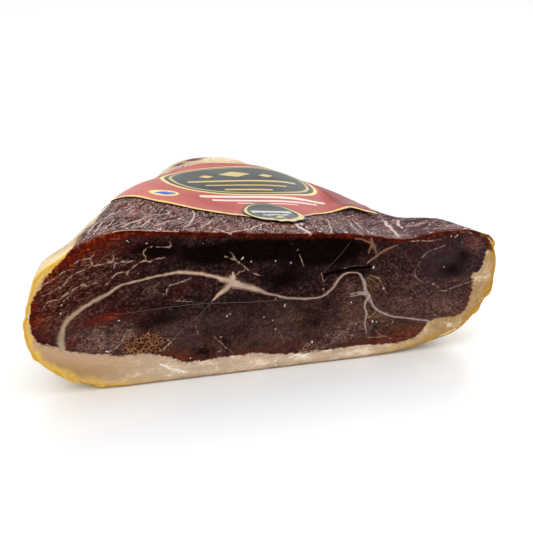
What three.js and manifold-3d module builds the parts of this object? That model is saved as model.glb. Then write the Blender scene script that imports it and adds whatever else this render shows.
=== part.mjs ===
// Half a boneless dry-cured ham in its clear vacuum film, in millimetres, +Z up.
// It lies on its fat side, with the cut face toward -Y and the small end toward +Y.
// The origin is on the floor, under the middle of the whole part.
import * as THREE from "three";
import { mergeVertices } from "three/addons/utils/BufferGeometryUtils.js";
import Module from "manifold-3d";

const wasm = await Module();
wasm.setup();

// Driving dimensions of the ham
const WIDTH = 280;            // cut face, side to side
const HEIGHT = 88.4;          // cut face, at its highest
const DEPTH = 227;            // cut face to the small end
const END_START = 190;        // depth where the small end begins to round off
const TIP_HEIGHT = 43;        // the small end's tip above the floor
const FOOT = 0.03;            // share of the height that lying down presses flat
const FOOT_FROM = 0.8;        // how far out from the middle the pressing starts, as a share
const FOOT_FULL = 0.95;       // and where it is whole

// The section turns from the cut's outline into a rounded box between these depths, and the
// box's corners get rounder, its power going from boxy toward an ellipse's 2.
const ROUND_FROM = 38;
const ROUND_FULL = 183;
const BOX_POWER = 3;
const END_POWER = 2.5;
const SOFTEN_FROM = 145;

// The cut face's edge, from the top left down the left side and round: across, up, and the
// thickness of the fat inside that point. Where there is no fat, the lean reaches the surface.
const CUT_EDGE = [
  [-106.5, 83.4, 0], [-121, 75.2, 1.5], [-130, 69.5, 3.5], [-135.3, 61, 2.2], [-139, 46.5, 1.6],
  [-140, 35.2, 3.8], [-137, 25, 8.5], [-129, 15.5, 13.5], [-117, 8, 16], [-102.3, 2.2, 19],
  [-88, 0, 18.5], [-66, 0, 16.3], [-50, 0, 10], [-20, 0, 11], [19, 0, 7.3],
  [54, 0, 8], [77, 1.2, 5], [90, 3.2, 6.5], [102, 5.6, 13.5], [115.7, 9.5, 11],
  [124, 15.6, 8], [130, 23.1, 8.2], [136.5, 32.3, 14.5], [140, 43, 16], [140, 55, 8.6],
  [137, 62.5, 3], [132, 67.5, 1.5], [122.3, 70.8, 0], [98.5, 71, 0], [80.8, 69.2, 0],
  [52.7, 74.3, 0], [16.3, 78.1, 0], [-24.8, 82, 0], [-57.7, 85.7, 0], [-88.1, 88.4, 0],
];
const ROWS = CUT_EDGE.length;

// How the ham narrows with depth: the left and right sides' places, and the height's share.
const LEFT_SIDE = [[0, -140], [29, -132], [58, -113.5], [97, -91], [145, -58], [183, -28], [227, -7]];
const RIGHT_SIDE = [
  [0, 140], [24, 138], [48, 127.5], [72, 109], [101, 100], [145, 89], [183, 67.5], [227, 55],
];
const TOP_SHARE = [[0, 1], [58, 0.95], [116, 0.965], [183, 0.935], [227, 0.96]];

// Swells and hollows of the top surface: across, depth, radius, height. They fade out below
// the top, between these shares of the height.
const LUMPS = [[108, 28, 15, 3.5], [98, 57, 10, -5], [72, 74, 15, 3]];
const LUMP_FROM = 0.55;
const LUMP_FULL = 0.95;

// The lean inside ends short of the small end. Its form stands proud of the ham where the fat
// is thinner than THIN_FAT, and starts in front of the cut, so that both are cut clean.
const LEAN_DEPTH = 214;
const LEAN_END_START = 176;
const THIN_FAT = 1.2;
const BARE_RISE = 4;
const CUT_RUN_OUT = 5;
const GAP = 0.5;

// The film's two faces and the sheets on it, as distances out from the ham's surface.
const FILM_INSIDE = 0.6;
const FILM_OUTSIDE = 1.0;
const FILM_FOOT = 0.15;       // the film stops this far above the floor, open below
const LABEL_INSIDE = 1.7;
const LABEL_OUTSIDE = 2.2;
const STICKER_INSIDE = 2.6;
const STICKER_OUTSIDE = 3.0;

// How finely the forms are made
const STEPS_PER_ROW = 2;
const RING_DEPTHS = [0, 8, 20, 36, 54, 73, 93, 113, 134, 155, 174, 190, 202, 211, 218, 223, 226];
const LABEL_STEPS = [32, 12];
const STICKER_STEPS = [9, 9];
const WELD = 1e-4;

// A smooth value read from a table of [position, value] rows.
function valueAt(table, position) {
  const last = table.length - 1;
  const at = Math.min(Math.max(position, table[0][0]), table[last][0]);
  let row = 0;
  while (row < last - 1 && at >= table[row + 1][0]) row += 1;
  const slope = (k) => {
    const a = table[Math.max(k - 1, 0)];
    const b = table[Math.min(k + 1, last)];
    return (b[1] - a[1]) / (b[0] - a[0]);
  };
  const [from, to] = [table[row], table[row + 1]];
  const span = to[0] - from[0];
  const s = (at - from[0]) / span;
  return (2 * s ** 3 - 3 * s ** 2 + 1) * from[1] + (s ** 3 - 2 * s ** 2 + s) * span * slope(row)
    + (3 * s ** 2 - 2 * s ** 3) * to[1] + (s ** 3 - s ** 2) * span * slope(row + 1);
}

// The cut face's edge as a closed curve: x across, y up, z the fat's thickness.
const edgeCurve = new THREE.CatmullRomCurve3(
  CUT_EDGE.map(([x, z, fat]) => new THREE.Vector3(x, z, fat)), true, "centripetal");
const edgeAt = (row) => edgeCurve.getPoint((((row % ROWS) + ROWS) % ROWS) / ROWS);

// How far the cut face reaches from its middle in each direction, in half widths and heights.
const REACH_STEPS = 1400;
const reach = [];
for (let i = 0; i < REACH_STEPS; i += 1) {
  const p = edgeAt((i * ROWS) / REACH_STEPS);
  const across = p.x / (WIDTH / 2);
  const up = p.y / (HEIGHT / 2) - 1;
  reach.push([Math.atan2(up, across), Math.hypot(across, up)]);
}
reach.sort((a, b) => a[0] - b[0]);
function reachAt(angle) {
  const next = reach.findIndex(([a]) => a > angle);
  const high = next < 0 ? 0 : next;
  const low = (high + REACH_STEPS - 1) % REACH_STEPS;
  const [from, to] = [reach[low], reach[high]];
  const turn = (a) => (a + 4 * Math.PI) % (2 * Math.PI);
  const share = turn(angle - from[0]) / Math.max(turn(to[0] - from[0]), Number.EPSILON);
  return from[1] + (to[1] - from[1]) * Math.min(share, 1);
}

// Carries a point of the cut face, across and up, back to a depth. The section turns from
// the cut's outline into a rounded box on the way, and shrinks to the tip at the end.
function place(across, up, depth, endStart = END_START, tipDepth = DEPTH) {
  const flatX = across / (WIDTH / 2);
  const flatZ = up / (HEIGHT / 2) - 1;
  const angle = Math.atan2(flatZ, flatX);
  const share = Math.hypot(flatX, flatZ) / reachAt(angle);
  const soften = THREE.MathUtils.smoothstep(depth, SOFTEN_FROM, DEPTH);
  const power = BOX_POWER + (END_POWER - BOX_POWER) * soften;
  const round = share * (Math.abs(Math.cos(angle)) ** power
    + Math.abs(Math.sin(angle)) ** power) ** (-1 / power);
  const blend = THREE.MathUtils.smoothstep(depth, ROUND_FROM, ROUND_FULL);
  const left = valueAt(LEFT_SIDE, depth);
  const right = valueAt(RIGHT_SIDE, depth);
  const height = HEIGHT * valueAt(TOP_SHARE, depth);
  const middle = (left + right) / 2;
  let x = middle + ((right - left) / 2) * ((1 - blend) * flatX + blend * round * Math.cos(angle));
  let z = (height / 2) * (1 + (1 - blend) * flatZ + blend * round * Math.sin(angle));
  const foot = FOOT * blend;
  const pressed = (height * Math.max(0, z / height - foot)) / (1 - foot);
  z += (pressed - z) * THREE.MathUtils.smoothstep(share, FOOT_FROM, FOOT_FULL);
  const onTop = THREE.MathUtils.smoothstep(z / height, LUMP_FROM, LUMP_FULL);
  for (const [lumpX, lumpDepth, radius, rise] of LUMPS) {
    const far = ((x - lumpX) ** 2 + (depth - lumpDepth) ** 2) / radius ** 2;
    z += onTop * rise * Math.exp(-far);
  }
  const past = Math.max(depth - endStart, 0) / (tipDepth - endStart);
  const close = Math.sqrt(Math.max(1 - past ** 2, 0));
  return new THREE.Vector3(middle + (x - middle) * close, depth, TIP_HEIGHT + (z - TIP_HEIGHT) * close);
}

// A point of the outer surface at a row of the edge and a depth, lifted off it. Its normal
// comes from points this far to each side.
const ROW_STEP = 0.02;
const DEPTH_STEP = 0.5;
const TIP_CLEAR = 0.01;
function surface(row, depth, lift = 0) {
  const at = (r, d) => {
    const e = edgeAt(r);
    return place(e.x, e.y, d);
  };
  const point = at(row, depth);
  if (lift === 0) return point;
  const along = at(row + ROW_STEP, depth).sub(at(row - ROW_STEP, depth));
  const behind = at(row, Math.min(depth + DEPTH_STEP, DEPTH - TIP_CLEAR));
  const back = behind.sub(at(row, Math.max(depth - DEPTH_STEP, 0)));
  return point.addScaledVector(back.cross(along).normalize(), lift);
}

// A closed mesh from points and triangles, with the faces pointing out.
function closedMesh(points, faces) {
  const geometry = new THREE.BufferGeometry().setFromPoints(points);
  geometry.setIndex(faces);
  return mergeVertices(geometry, WELD);
}

// Skins a stack of rings, with a flat fan on the first and a fan to a tip on the last.
function loft(rings, frontMiddle, tip) {
  const count = rings[0].length;
  const points = [...rings.flat(), frontMiddle, tip];
  const [front, end] = [points.length - 2, points.length - 1];
  const faces = [];
  for (let j = 0; j < count; j += 1) {
    const next = (j + 1) % count;
    for (let i = 0; i + 1 < rings.length; i += 1) {
      const [a, b] = [i * count + j, i * count + next];
      faces.push(a, a + count, b, b, a + count, b + count);
    }
    const last = (rings.length - 1) * count;
    faces.push(front, j, next, end, last + next, last + j);
  }
  return closedMesh(points, faces);
}

const rowSteps = Array.from({ length: ROWS * STEPS_PER_ROW }, (_, k) => k / STEPS_PER_ROW);

// The ham's outer form, or a form a little larger for the film's faces.
function hamForm(lift = 0) {
  const rings = RING_DEPTHS.map((depth) => rowSteps.map((row) => surface(row, depth, lift)));
  if (lift > 0) {
    const flat = rowSteps.map((row) => {
      const [p, out] = [surface(row, 0), surface(row, 0, lift)];
      return new THREE.Vector3(out.x, p.y - lift, out.z);
    });
    rings[0] = flat;
  }
  const frontMiddle = new THREE.Vector3(0, -lift, HEIGHT / 2);
  const tip = place(0, HEIGHT / 2, DEPTH);
  return loft(rings, frontMiddle, tip.setY(DEPTH + lift));
}

// The lean's own form, thinner than the ham by the fat, and grown by a gap to cut the fat.
function leanForm(grow) {
  const inner = rowSteps.map((row) => {
    const p = edgeAt(row);
    const along = edgeAt(row + ROW_STEP).sub(edgeAt(row - ROW_STEP));
    const inward = new THREE.Vector2(-along.y, along.x).normalize();
    const bare = THREE.MathUtils.smoothstep(THIN_FAT - p.z, 0, THIN_FAT);
    const inset = p.z - BARE_RISE * bare - grow;
    return [p.x + inward.x * inset, p.y + inward.y * inset];
  });
  const tipDepth = LEAN_DEPTH + grow;
  const depths = RING_DEPTHS.map((d) => (d * tipDepth) / DEPTH);
  const rings = depths.map((depth) => inner.map(([x, z]) => place(x, z, depth, LEAN_END_START, tipDepth)));
  rings[0] = rings[0].map((p) => p.clone().setY(-CUT_RUN_OUT));
  const tip = place(0, HEIGHT / 2, tipDepth, LEAN_END_START, tipDepth);
  return loft(rings, new THREE.Vector3(0, -CUT_RUN_OUT, HEIGHT / 2), tip);
}

// A thin sheet on a grid of surface points, at(a, b, lift) with a and b from 0 to 1.
function sheet(at, stepsA, stepsB, inside, outside) {
  const points = [];
  for (const lift of [inside, outside]) {
    for (let i = 0; i <= stepsA; i += 1) {
      for (let j = 0; j <= stepsB; j += 1) points.push(at(i / stepsA, j / stepsB, lift));
    }
  }
  const layer = (stepsA + 1) * (stepsB + 1);
  const id = (i, j, k) => k * layer + i * (stepsB + 1) + j;
  const faces = [];
  const quad = (a, b, c, d) => faces.push(a, b, c, a, c, d);
  for (let i = 0; i < stepsA; i += 1) {
    for (let j = 0; j < stepsB; j += 1) {
      quad(id(i, j, 1), id(i + 1, j, 1), id(i + 1, j + 1, 1), id(i, j + 1, 1));
      quad(id(i, j, 0), id(i, j + 1, 0), id(i + 1, j + 1, 0), id(i + 1, j, 0));
    }
    quad(id(i, 0, 0), id(i + 1, 0, 0), id(i + 1, 0, 1), id(i, 0, 1));
    quad(id(i, stepsB, 1), id(i + 1, stepsB, 1), id(i + 1, stepsB, 0), id(i, stepsB, 0));
  }
  for (let j = 0; j < stepsB; j += 1) {
    quad(id(0, j, 0), id(0, j, 1), id(0, j + 1, 1), id(0, j + 1, 0));
    quad(id(stepsA, j, 1), id(stepsA, j, 0), id(stepsA, j + 1, 0), id(stepsA, j + 1, 1));
  }
  return closedMesh(points, faces);
}

// The label, from the left ridge over the top and down the right side: the rows of the edge
// at its two ends, by share from front to back, and the depths of its front and back edges,
// by share from left to right.
const LABEL_LEFT_ROW = [[0, 35.95], [0.3, 35.6], [0.5, 34.2], [0.75, 33.6], [1, 33.3]];
const LABEL_RIGHT_ROW = [[0, 27.85], [0.1, 27.55], [0.3, 27.1], [1, 26.4]];
const LABEL_FRONT = [
  [0, 107], [0.1, 98], [0.27, 84], [0.38, 75], [0.47, 64], [0.56, 49.5], [0.62, 46], [0.69, 53.5],
  [0.79, 66.5], [0.93, 71.5], [1, 60],
];
const LABEL_BACK = [[0, 167], [0.22, 174], [0.43, 166], [1, 160]];
function labelPoint(a, b, lift) {
  const row = THREE.MathUtils.lerp(valueAt(LABEL_LEFT_ROW, b), valueAt(LABEL_RIGHT_ROW, b), a);
  const front = valueAt(LABEL_FRONT, a);
  return surface(row, front + (valueAt(LABEL_BACK, a) - front) * b, lift);
}

// The oval sticker over the label's front edge: its middle, and half its size in rows and depth.
const STICKER_ROW = 30.8;
const STICKER_DEPTH = 57.3;
const STICKER_HALF_ROWS = 0.55;
const STICKER_HALF_DEPTH = 22.8;
function stickerPoint(a, b, lift) {
  const [sideways, deep] = [2 * a - 1, 2 * b - 1];
  const row = STICKER_ROW - STICKER_HALF_ROWS * sideways * Math.sqrt(1 - deep ** 2 / 2);
  const depth = STICKER_DEPTH + STICKER_HALF_DEPTH * deep * Math.sqrt(1 - sideways ** 2 / 2);
  return surface(row, depth, lift);
}

// Manifold-3d cuts the lean, the fat and the film out of the closed forms.
function solidOf(geometry) {
  return new wasm.Manifold(new wasm.Mesh({
    numProp: 3,
    vertProperties: new Float32Array(geometry.attributes.position.array),
    triVerts: new Uint32Array(geometry.index.array),
  }));
}
function geometryOf(solid) {
  const { vertProperties, triVerts } = solid.getMesh();
  const geometry = new THREE.BufferGeometry();
  geometry.setAttribute("position", new THREE.BufferAttribute(vertProperties, 3));
  geometry.setIndex(new THREE.BufferAttribute(triVerts, 1));
  return geometry;
}

const ham = solidOf(hamForm());
const lean = ham.intersect(solidOf(leanForm(0)));
const fat = ham.subtract(solidOf(leanForm(GAP)));
const below = new THREE.BoxGeometry(2 * WIDTH, 2 * DEPTH, HEIGHT);
below.deleteAttribute("normal");
below.deleteAttribute("uv");
below.translate(0, DEPTH / 2, FILM_FOOT - HEIGHT / 2);
const film = solidOf(hamForm(FILM_OUTSIDE))
  .subtract(solidOf(hamForm(FILM_INSIDE)))
  .subtract(solidOf(mergeVertices(below)));

const part = new THREE.Group();
function addNode(name, geometry, color, roughness) {
  const mesh = new THREE.Mesh(geometry, new THREE.MeshStandardMaterial({ color, roughness, metalness: 0 }));
  mesh.name = name;
  mesh.position.set(0, -DEPTH / 2, 0);
  part.add(mesh);
}
addNode("lean_meat", geometryOf(lean), 0x4a1c1c, 0.45);
addNode("fat_layer", geometryOf(fat), 0xd8bb92, 0.5);
addNode("vacuum_film", geometryOf(film), 0xe8e4de, 0.1);
addNode("label", sheet(labelPoint, ...LABEL_STEPS, LABEL_INSIDE, LABEL_OUTSIDE), 0xb8473c, 0.35);
const sticker = sheet(stickerPoint, ...STICKER_STEPS, STICKER_INSIDE, STICKER_OUTSIDE);
addNode("oval_sticker", sticker, 0x23242a, 0.3);

export default part;
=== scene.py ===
"""Half a boneless dry-cured ham in its clear vacuum film, with a label and a sticker on top."""
import math

import bpy
import numpy as np
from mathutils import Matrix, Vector


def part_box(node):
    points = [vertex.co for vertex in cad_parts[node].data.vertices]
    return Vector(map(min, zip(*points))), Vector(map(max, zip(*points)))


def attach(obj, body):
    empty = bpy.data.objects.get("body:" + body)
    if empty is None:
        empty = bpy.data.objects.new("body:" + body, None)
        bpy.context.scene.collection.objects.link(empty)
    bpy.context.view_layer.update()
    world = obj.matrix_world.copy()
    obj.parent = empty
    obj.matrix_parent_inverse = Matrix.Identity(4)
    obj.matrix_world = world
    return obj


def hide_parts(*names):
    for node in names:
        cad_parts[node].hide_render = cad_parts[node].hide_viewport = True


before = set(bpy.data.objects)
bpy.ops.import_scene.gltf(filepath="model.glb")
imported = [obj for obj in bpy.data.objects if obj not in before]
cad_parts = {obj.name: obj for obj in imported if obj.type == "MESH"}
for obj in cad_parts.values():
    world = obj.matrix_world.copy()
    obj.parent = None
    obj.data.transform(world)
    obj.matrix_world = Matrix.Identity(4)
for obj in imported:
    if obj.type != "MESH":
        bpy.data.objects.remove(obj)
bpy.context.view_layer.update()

# The ham's form, in millimetres: across is 0 at the middle of the cut face, depth is 0 at the
# cut face and grows toward the small end, up is 0 on the floor.
CUT_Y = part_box("fat_layer")[0].y * 1000
WIDTH, HEIGHT, DEPTH = 280.0, 88.4, 227.0
END_START, TIP_HEIGHT = 190.0, 43.0
FOOT, FOOT_FROM, FOOT_FULL = 0.03, 0.8, 0.95
ROUND_FROM, ROUND_FULL = 38.0, 183.0
BOX_POWER, END_POWER, SOFTEN_FROM = 3.0, 2.5, 145.0
# The cut face's edge: across, up and how thick the fat is inside it.
CUT_EDGE = np.array([
    (-106.5, 83.4, 0), (-121, 75.2, 1.5), (-130, 69.5, 3.5), (-135.3, 61, 2.2), (-139, 46.5, 1.6),
    (-140, 35.2, 3.8), (-137, 25, 8.5), (-129, 15.5, 13.5), (-117, 8, 16), (-102.3, 2.2, 19),
    (-88, 0, 18.5), (-66, 0, 16.3), (-50, 0, 10), (-20, 0, 11), (19, 0, 7.3),
    (54, 0, 8), (77, 1.2, 5), (90, 3.2, 6.5), (102, 5.6, 13.5), (115.7, 9.5, 11),
    (124, 15.6, 8), (130, 23.1, 8.2), (136.5, 32.3, 14.5), (140, 43, 16), (140, 55, 8.6),
    (137, 62.5, 3), (132, 67.5, 1.5), (122.3, 70.8, 0), (98.5, 71, 0), (80.8, 69.2, 0),
    (52.7, 74.3, 0), (16.3, 78.1, 0), (-24.8, 82, 0), (-57.7, 85.7, 0), (-88.1, 88.4, 0),
], float)
ROWS = len(CUT_EDGE)
# The left side, the right side and the top's share of the full height, each by depth.
LEFT_SIDE = [(0, -140), (29, -132), (58, -113.5), (97, -91), (145, -58), (183, -28), (227, -7)]
RIGHT_SIDE = [(0, 140), (24, 138), (48, 127.5), (72, 109), (101, 100), (145, 89), (183, 67.5), (227, 55)]
TOP_SHARE = [(0, 1.0), (58, 0.95), (116, 0.965), (183, 0.935), (227, 0.96)]
# Lumps on the top: across, depth, radius and rise.
LUMPS = [(108, 28, 15, 3.5), (98, 57, 10, -5), (72, 74, 15, 3)]
LUMP_FROM, LUMP_FULL = 0.55, 0.95
# Fat thinner than this runs out, and the lean lies bare.
THIN_FAT, BARE_RISE = 1.2, 4.0


def smooth(low, high, value):
    """0 below low, 1 above high, and smooth between."""
    t = np.clip((np.asarray(value, float) - low) / (high - low), 0, 1)
    return t * t * (3 - 2 * t)


def bend(start, end, leave, arrive, t):
    """The point a share t along a cubic from start to end, with its slopes at both ends."""
    return (start + leave * t + (3 * (end - start) - 2 * leave - arrive) * t**2
            + (2 * (start - end) + leave + arrive) * t**3)


def value_at(table, position):
    """A smooth value read from a table of (position, value) rows."""
    at, value = np.array(table, float).T
    slope = np.empty_like(value)
    slope[1:-1] = (value[2:] - value[:-2]) / (at[2:] - at[:-2])
    slope[0] = (value[1] - value[0]) / (at[1] - at[0])
    slope[-1] = (value[-1] - value[-2]) / (at[-1] - at[-2])
    p = np.clip(position, at[0], at[-1])
    i = np.clip(np.searchsorted(at, p, side="right") - 1, 0, len(at) - 2)
    span = at[i + 1] - at[i]
    return bend(value[i], value[i + 1], span * slope[i], span * slope[i + 1], (p - at[i]) / span)


def edge_at(row):
    """The cut face's edge at a row: across, up and the fat's thickness, on a centripetal curve."""
    row = np.asarray(row, float) % ROWS
    i = np.floor(row).astype(int)
    t = (row - i)[..., None]
    p = [CUT_EDGE[(i + k) % ROWS] for k in (-1, 0, 1, 2)]
    d = [((p[k + 1] - p[k]) ** 2).sum(-1, keepdims=True) ** 0.25 for k in range(3)]
    t1 = ((p[1] - p[0]) / d[0] - (p[2] - p[0]) / (d[0] + d[1]) + (p[2] - p[1]) / d[1]) * d[1]
    t2 = ((p[2] - p[1]) / d[1] - (p[3] - p[1]) / (d[1] + d[2]) + (p[3] - p[2]) / d[2]) * d[1]
    return bend(p[1], p[2], t1, t2, t)


def reach_table(samples=1400):
    """How far the cut face reaches from its middle by angle, in half widths and half heights."""
    edge = edge_at(np.linspace(0, ROWS, samples, endpoint=False))
    x, z = edge[:, 0] / (WIDTH / 2), edge[:, 1] / (HEIGHT / 2) - 1
    angle, far = np.arctan2(z, x), np.hypot(x, z)
    order = np.argsort(angle)
    angle, far = angle[order], far[order]
    turn = 2 * np.pi
    return np.concatenate([angle - turn, angle, angle + turn]), np.tile(far, 3)


REACH_ANGLE, REACH = reach_table()


def place(across, up, depth):
    """Carries points of the cut face back to a depth, in the part's frame in millimetres."""
    across, up, depth = np.broadcast_arrays(*[np.asarray(v, float) for v in (across, up, depth)])
    flat_x, flat_z = across / (WIDTH / 2), up / (HEIGHT / 2) - 1
    angle = np.arctan2(flat_z, flat_x)
    share = np.hypot(flat_x, flat_z) / np.interp(angle, REACH_ANGLE, REACH)
    power = BOX_POWER + (END_POWER - BOX_POWER) * smooth(SOFTEN_FROM, DEPTH, depth)
    c, s = np.cos(angle), np.sin(angle)
    boxed = share * (np.abs(c) ** power + np.abs(s) ** power) ** (-1 / power)
    blend = smooth(ROUND_FROM, ROUND_FULL, depth)
    left, right = value_at(LEFT_SIDE, depth), value_at(RIGHT_SIDE, depth)
    height = HEIGHT * value_at(TOP_SHARE, depth)
    middle = (left + right) / 2
    x = middle + (right - left) / 2 * ((1 - blend) * flat_x + blend * boxed * c)
    z = height / 2 * (1 + (1 - blend) * flat_z + blend * boxed * s)
    foot = FOOT * blend
    pressed = height * np.maximum(0, z / height - foot) / (1 - foot)
    z = z + (pressed - z) * smooth(FOOT_FROM, FOOT_FULL, share)
    on_top = smooth(LUMP_FROM, LUMP_FULL, z / height)
    for lump_x, lump_depth, radius, rise in LUMPS:
        z = z + on_top * rise * np.exp(-((x - lump_x) ** 2 + (depth - lump_depth) ** 2) / radius**2)
    past = np.maximum(depth - END_START, 0) / (DEPTH - END_START)
    close = np.sqrt(np.clip(1 - past**2, 0, 1))
    x, z = middle + (x - middle) * close, TIP_HEIGHT + (z - TIP_HEIGHT) * close
    return np.stack([x, depth + CUT_Y, z], -1)


def on_side(row, depth):
    """Points of the sides by row of the edge and depth."""
    edge = edge_at(row)
    return place(edge[..., 0], edge[..., 1], depth)


def normals_of(grid, ring=False):
    """Outward unit normals of a grid of points, rows of the edge first and depths second."""
    if ring:
        along = np.roll(grid, -1, 0) - np.roll(grid, 1, 0)
    else:
        along = np.gradient(grid, axis=0)
    back = np.gradient(grid, axis=1)
    n = np.cross(back, along)
    return n / np.maximum(np.linalg.norm(n, axis=-1, keepdims=True), 1e-9)


# Noise and curves used by several pieces

LATTICE = np.random.default_rng(7).random((64, 64, 64))


def noise(points, size, seed=0, octaves=1):
    """Smooth noise from 0 to 1 with bumps about size millimetres apart."""
    total, weight, share = 0.0, 0.0, 1.0
    for octave in range(octaves):
        q = np.asarray(points, float) * (2**octave / np.asarray(size, float)) + 11.3 * (seed + octave)
        low = np.floor(q).astype(int)
        t = q - low
        t = t * t * (3 - 2 * t)
        value = 0.0
        for corner in range(8):
            step = np.array([corner & 1, corner >> 1 & 1, corner >> 2 & 1])
            at = (low + step) % 64
            w = np.prod(np.where(step, t, 1 - t), axis=-1)
            value = value + w * LATTICE[at[..., 0], at[..., 1], at[..., 2]]
        total, weight, share = total + share * value, weight + share, share / 2
    return total / weight


def flat(x, z):
    """Points of a plane, for noise."""
    return np.stack([x, z, 0 * x], -1)


def wave(points, size, seed=0, octaves=1):
    """Noise from -0.5 to 0.5."""
    return noise(points, size, seed, octaves) - 0.5


def curve_through(points, steps=8):
    """A smooth open line through points of two or more numbers."""
    p = np.asarray(points, float)
    if len(p) < 3:
        return np.linspace(p[0], p[-1], steps)
    p = np.concatenate([2 * p[:1] - p[1:2], p, 2 * p[-1:] - p[-2:-1]])
    t = np.linspace(0, 1, steps, endpoint=False)[:, None]
    parts = []
    for a, b, c, d in zip(p[:-3], p[1:-2], p[2:-1], p[3:]):
        parts.append(bend(b, c, (c - a) / 2, (d - b) / 2, t))
    return np.concatenate([*parts, p[-2:-1]])


def near_line(x, z, line):
    """Each point's distance to a line, how far along it that is, 0 to 1, and the side, 1 or -1."""
    best = np.full(x.shape, 1e9)
    along, side = np.zeros((2,) + x.shape)
    count = len(line) - 1
    for k in range(count):
        a, b = line[k], line[k + 1]
        d = b - a
        t = np.clip(((x - a[0]) * d[0] + (z - a[1]) * d[1]) / max(d @ d, 1e-9), 0, 1)
        far = np.hypot(x - a[0] - t * d[0], z - a[1] - t * d[1])
        closer = far < best
        best = np.where(closer, far, best)
        along = np.where(closer, (k + t) / count, along)
        side = np.where(closer, np.sign(d[0] * (z - a[1]) - d[1] * (x - a[0])), side)
    return best, along, side


def spot(x, z, middle_x, middle_z, wide, high, turn=0, strength=1):
    """A soft round or oval patch, turned by degrees, with its strength in its middle."""
    a = math.radians(turn)
    dx, dz = x - middle_x, z - middle_z
    u = (dx * math.cos(a) + dz * math.sin(a)) / wide
    v = (dz * math.cos(a) - dx * math.sin(a)) / high
    return strength * np.exp(-(u**2 + v**2))


def spots(x, z, patches):
    return sum(spot(x, z, *patch) for patch in patches)


# The cut face's drawing, in millimetres across and up

# Seams of fat: points across and up, each with the seam's width there.
SEAMS = {
    "main": [(-120, 26.5, 3.9), (-120.5, 31.5, 4.2), (-119.5, 37, 3.2), (-116.5, 42, 2.8),
        (-110, 47, 2.7), (-102, 51, 2.0), (-95.5, 53.5, 1.7), (-87.5, 58, 1.3), (-78.5, 60, 1.2),
        (-59.5, 62, 1.4), (-54, 62.5, 2.0), (-45, 61, 1.9), (-34.5, 58.5, 2.1), (-30, 56.5, 2.8),
        (-25.5, 55, 4.1), (-21, 52.5, 4.6), (-16, 50.5, 3.5), (-11.5, 49, 3.5), (-4, 45.5, 1.5),
        (6, 42, 1.3), (14, 40.5, 1.3), (23.5, 39.5, 1.2), (29, 40, 1.2), (34.5, 43, 1.5),
        (41, 50, 1.4), (44, 52, 0.9), (48, 52.5, 0.7), (52.5, 51.5, 0.9), (54.5, 48.5, 1.4),
        (56, 45, 2), (57, 41, 1.9), (59, 38, 1.5), (60, 34, 1.4), (62.5, 30, 1.4), (67, 26.5, 1.4),
        (75.5, 23, 1.2), (95, 18.5, 1.5), (102, 14.5, 3.2)],
    "knot_down": [(-23.5, 54.5, 4), (-26, 51.5, 3.6), (-35, 45, 1)],
    "knot_up": [(-23.5, 58.5, 1.8), (-23, 55.5, 3.6)],
    "junction_down": [(58.5, 37.5, 1.8), (56, 31.5, 1.4), (57.5, 27, 1.6), (56.5, 22, 1.2),
        (57.5, 15, 0.6)],
    "junction_left": [(58.5, 38, 1.4), (55, 39, 1), (47.5, 38.5, 0.5)],
    "junction_left_high": [(57.5, 39.5, 0.9), (53.5, 40.5, 0.8), (48, 40, 0.6)],
    "top_right": [(59.5, 73, 0.9), (60, 69, 1), (58.5, 63, 0.6)],
    "top_right_in": [(50, 72, 0.7), (53.5, 71.5, 0.8), (59.5, 68.5, 1.1)],
    "top_right_tie": [(60.5, 69, 0.7), (61.5, 66, 1.2), (63, 62.5, 0.6)],
    "top_right_branch": [(57.5, 57, 0.6), (59, 58.5, 1), (68, 63.5, 1.3), (76, 66, 0.5)],
}

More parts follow.
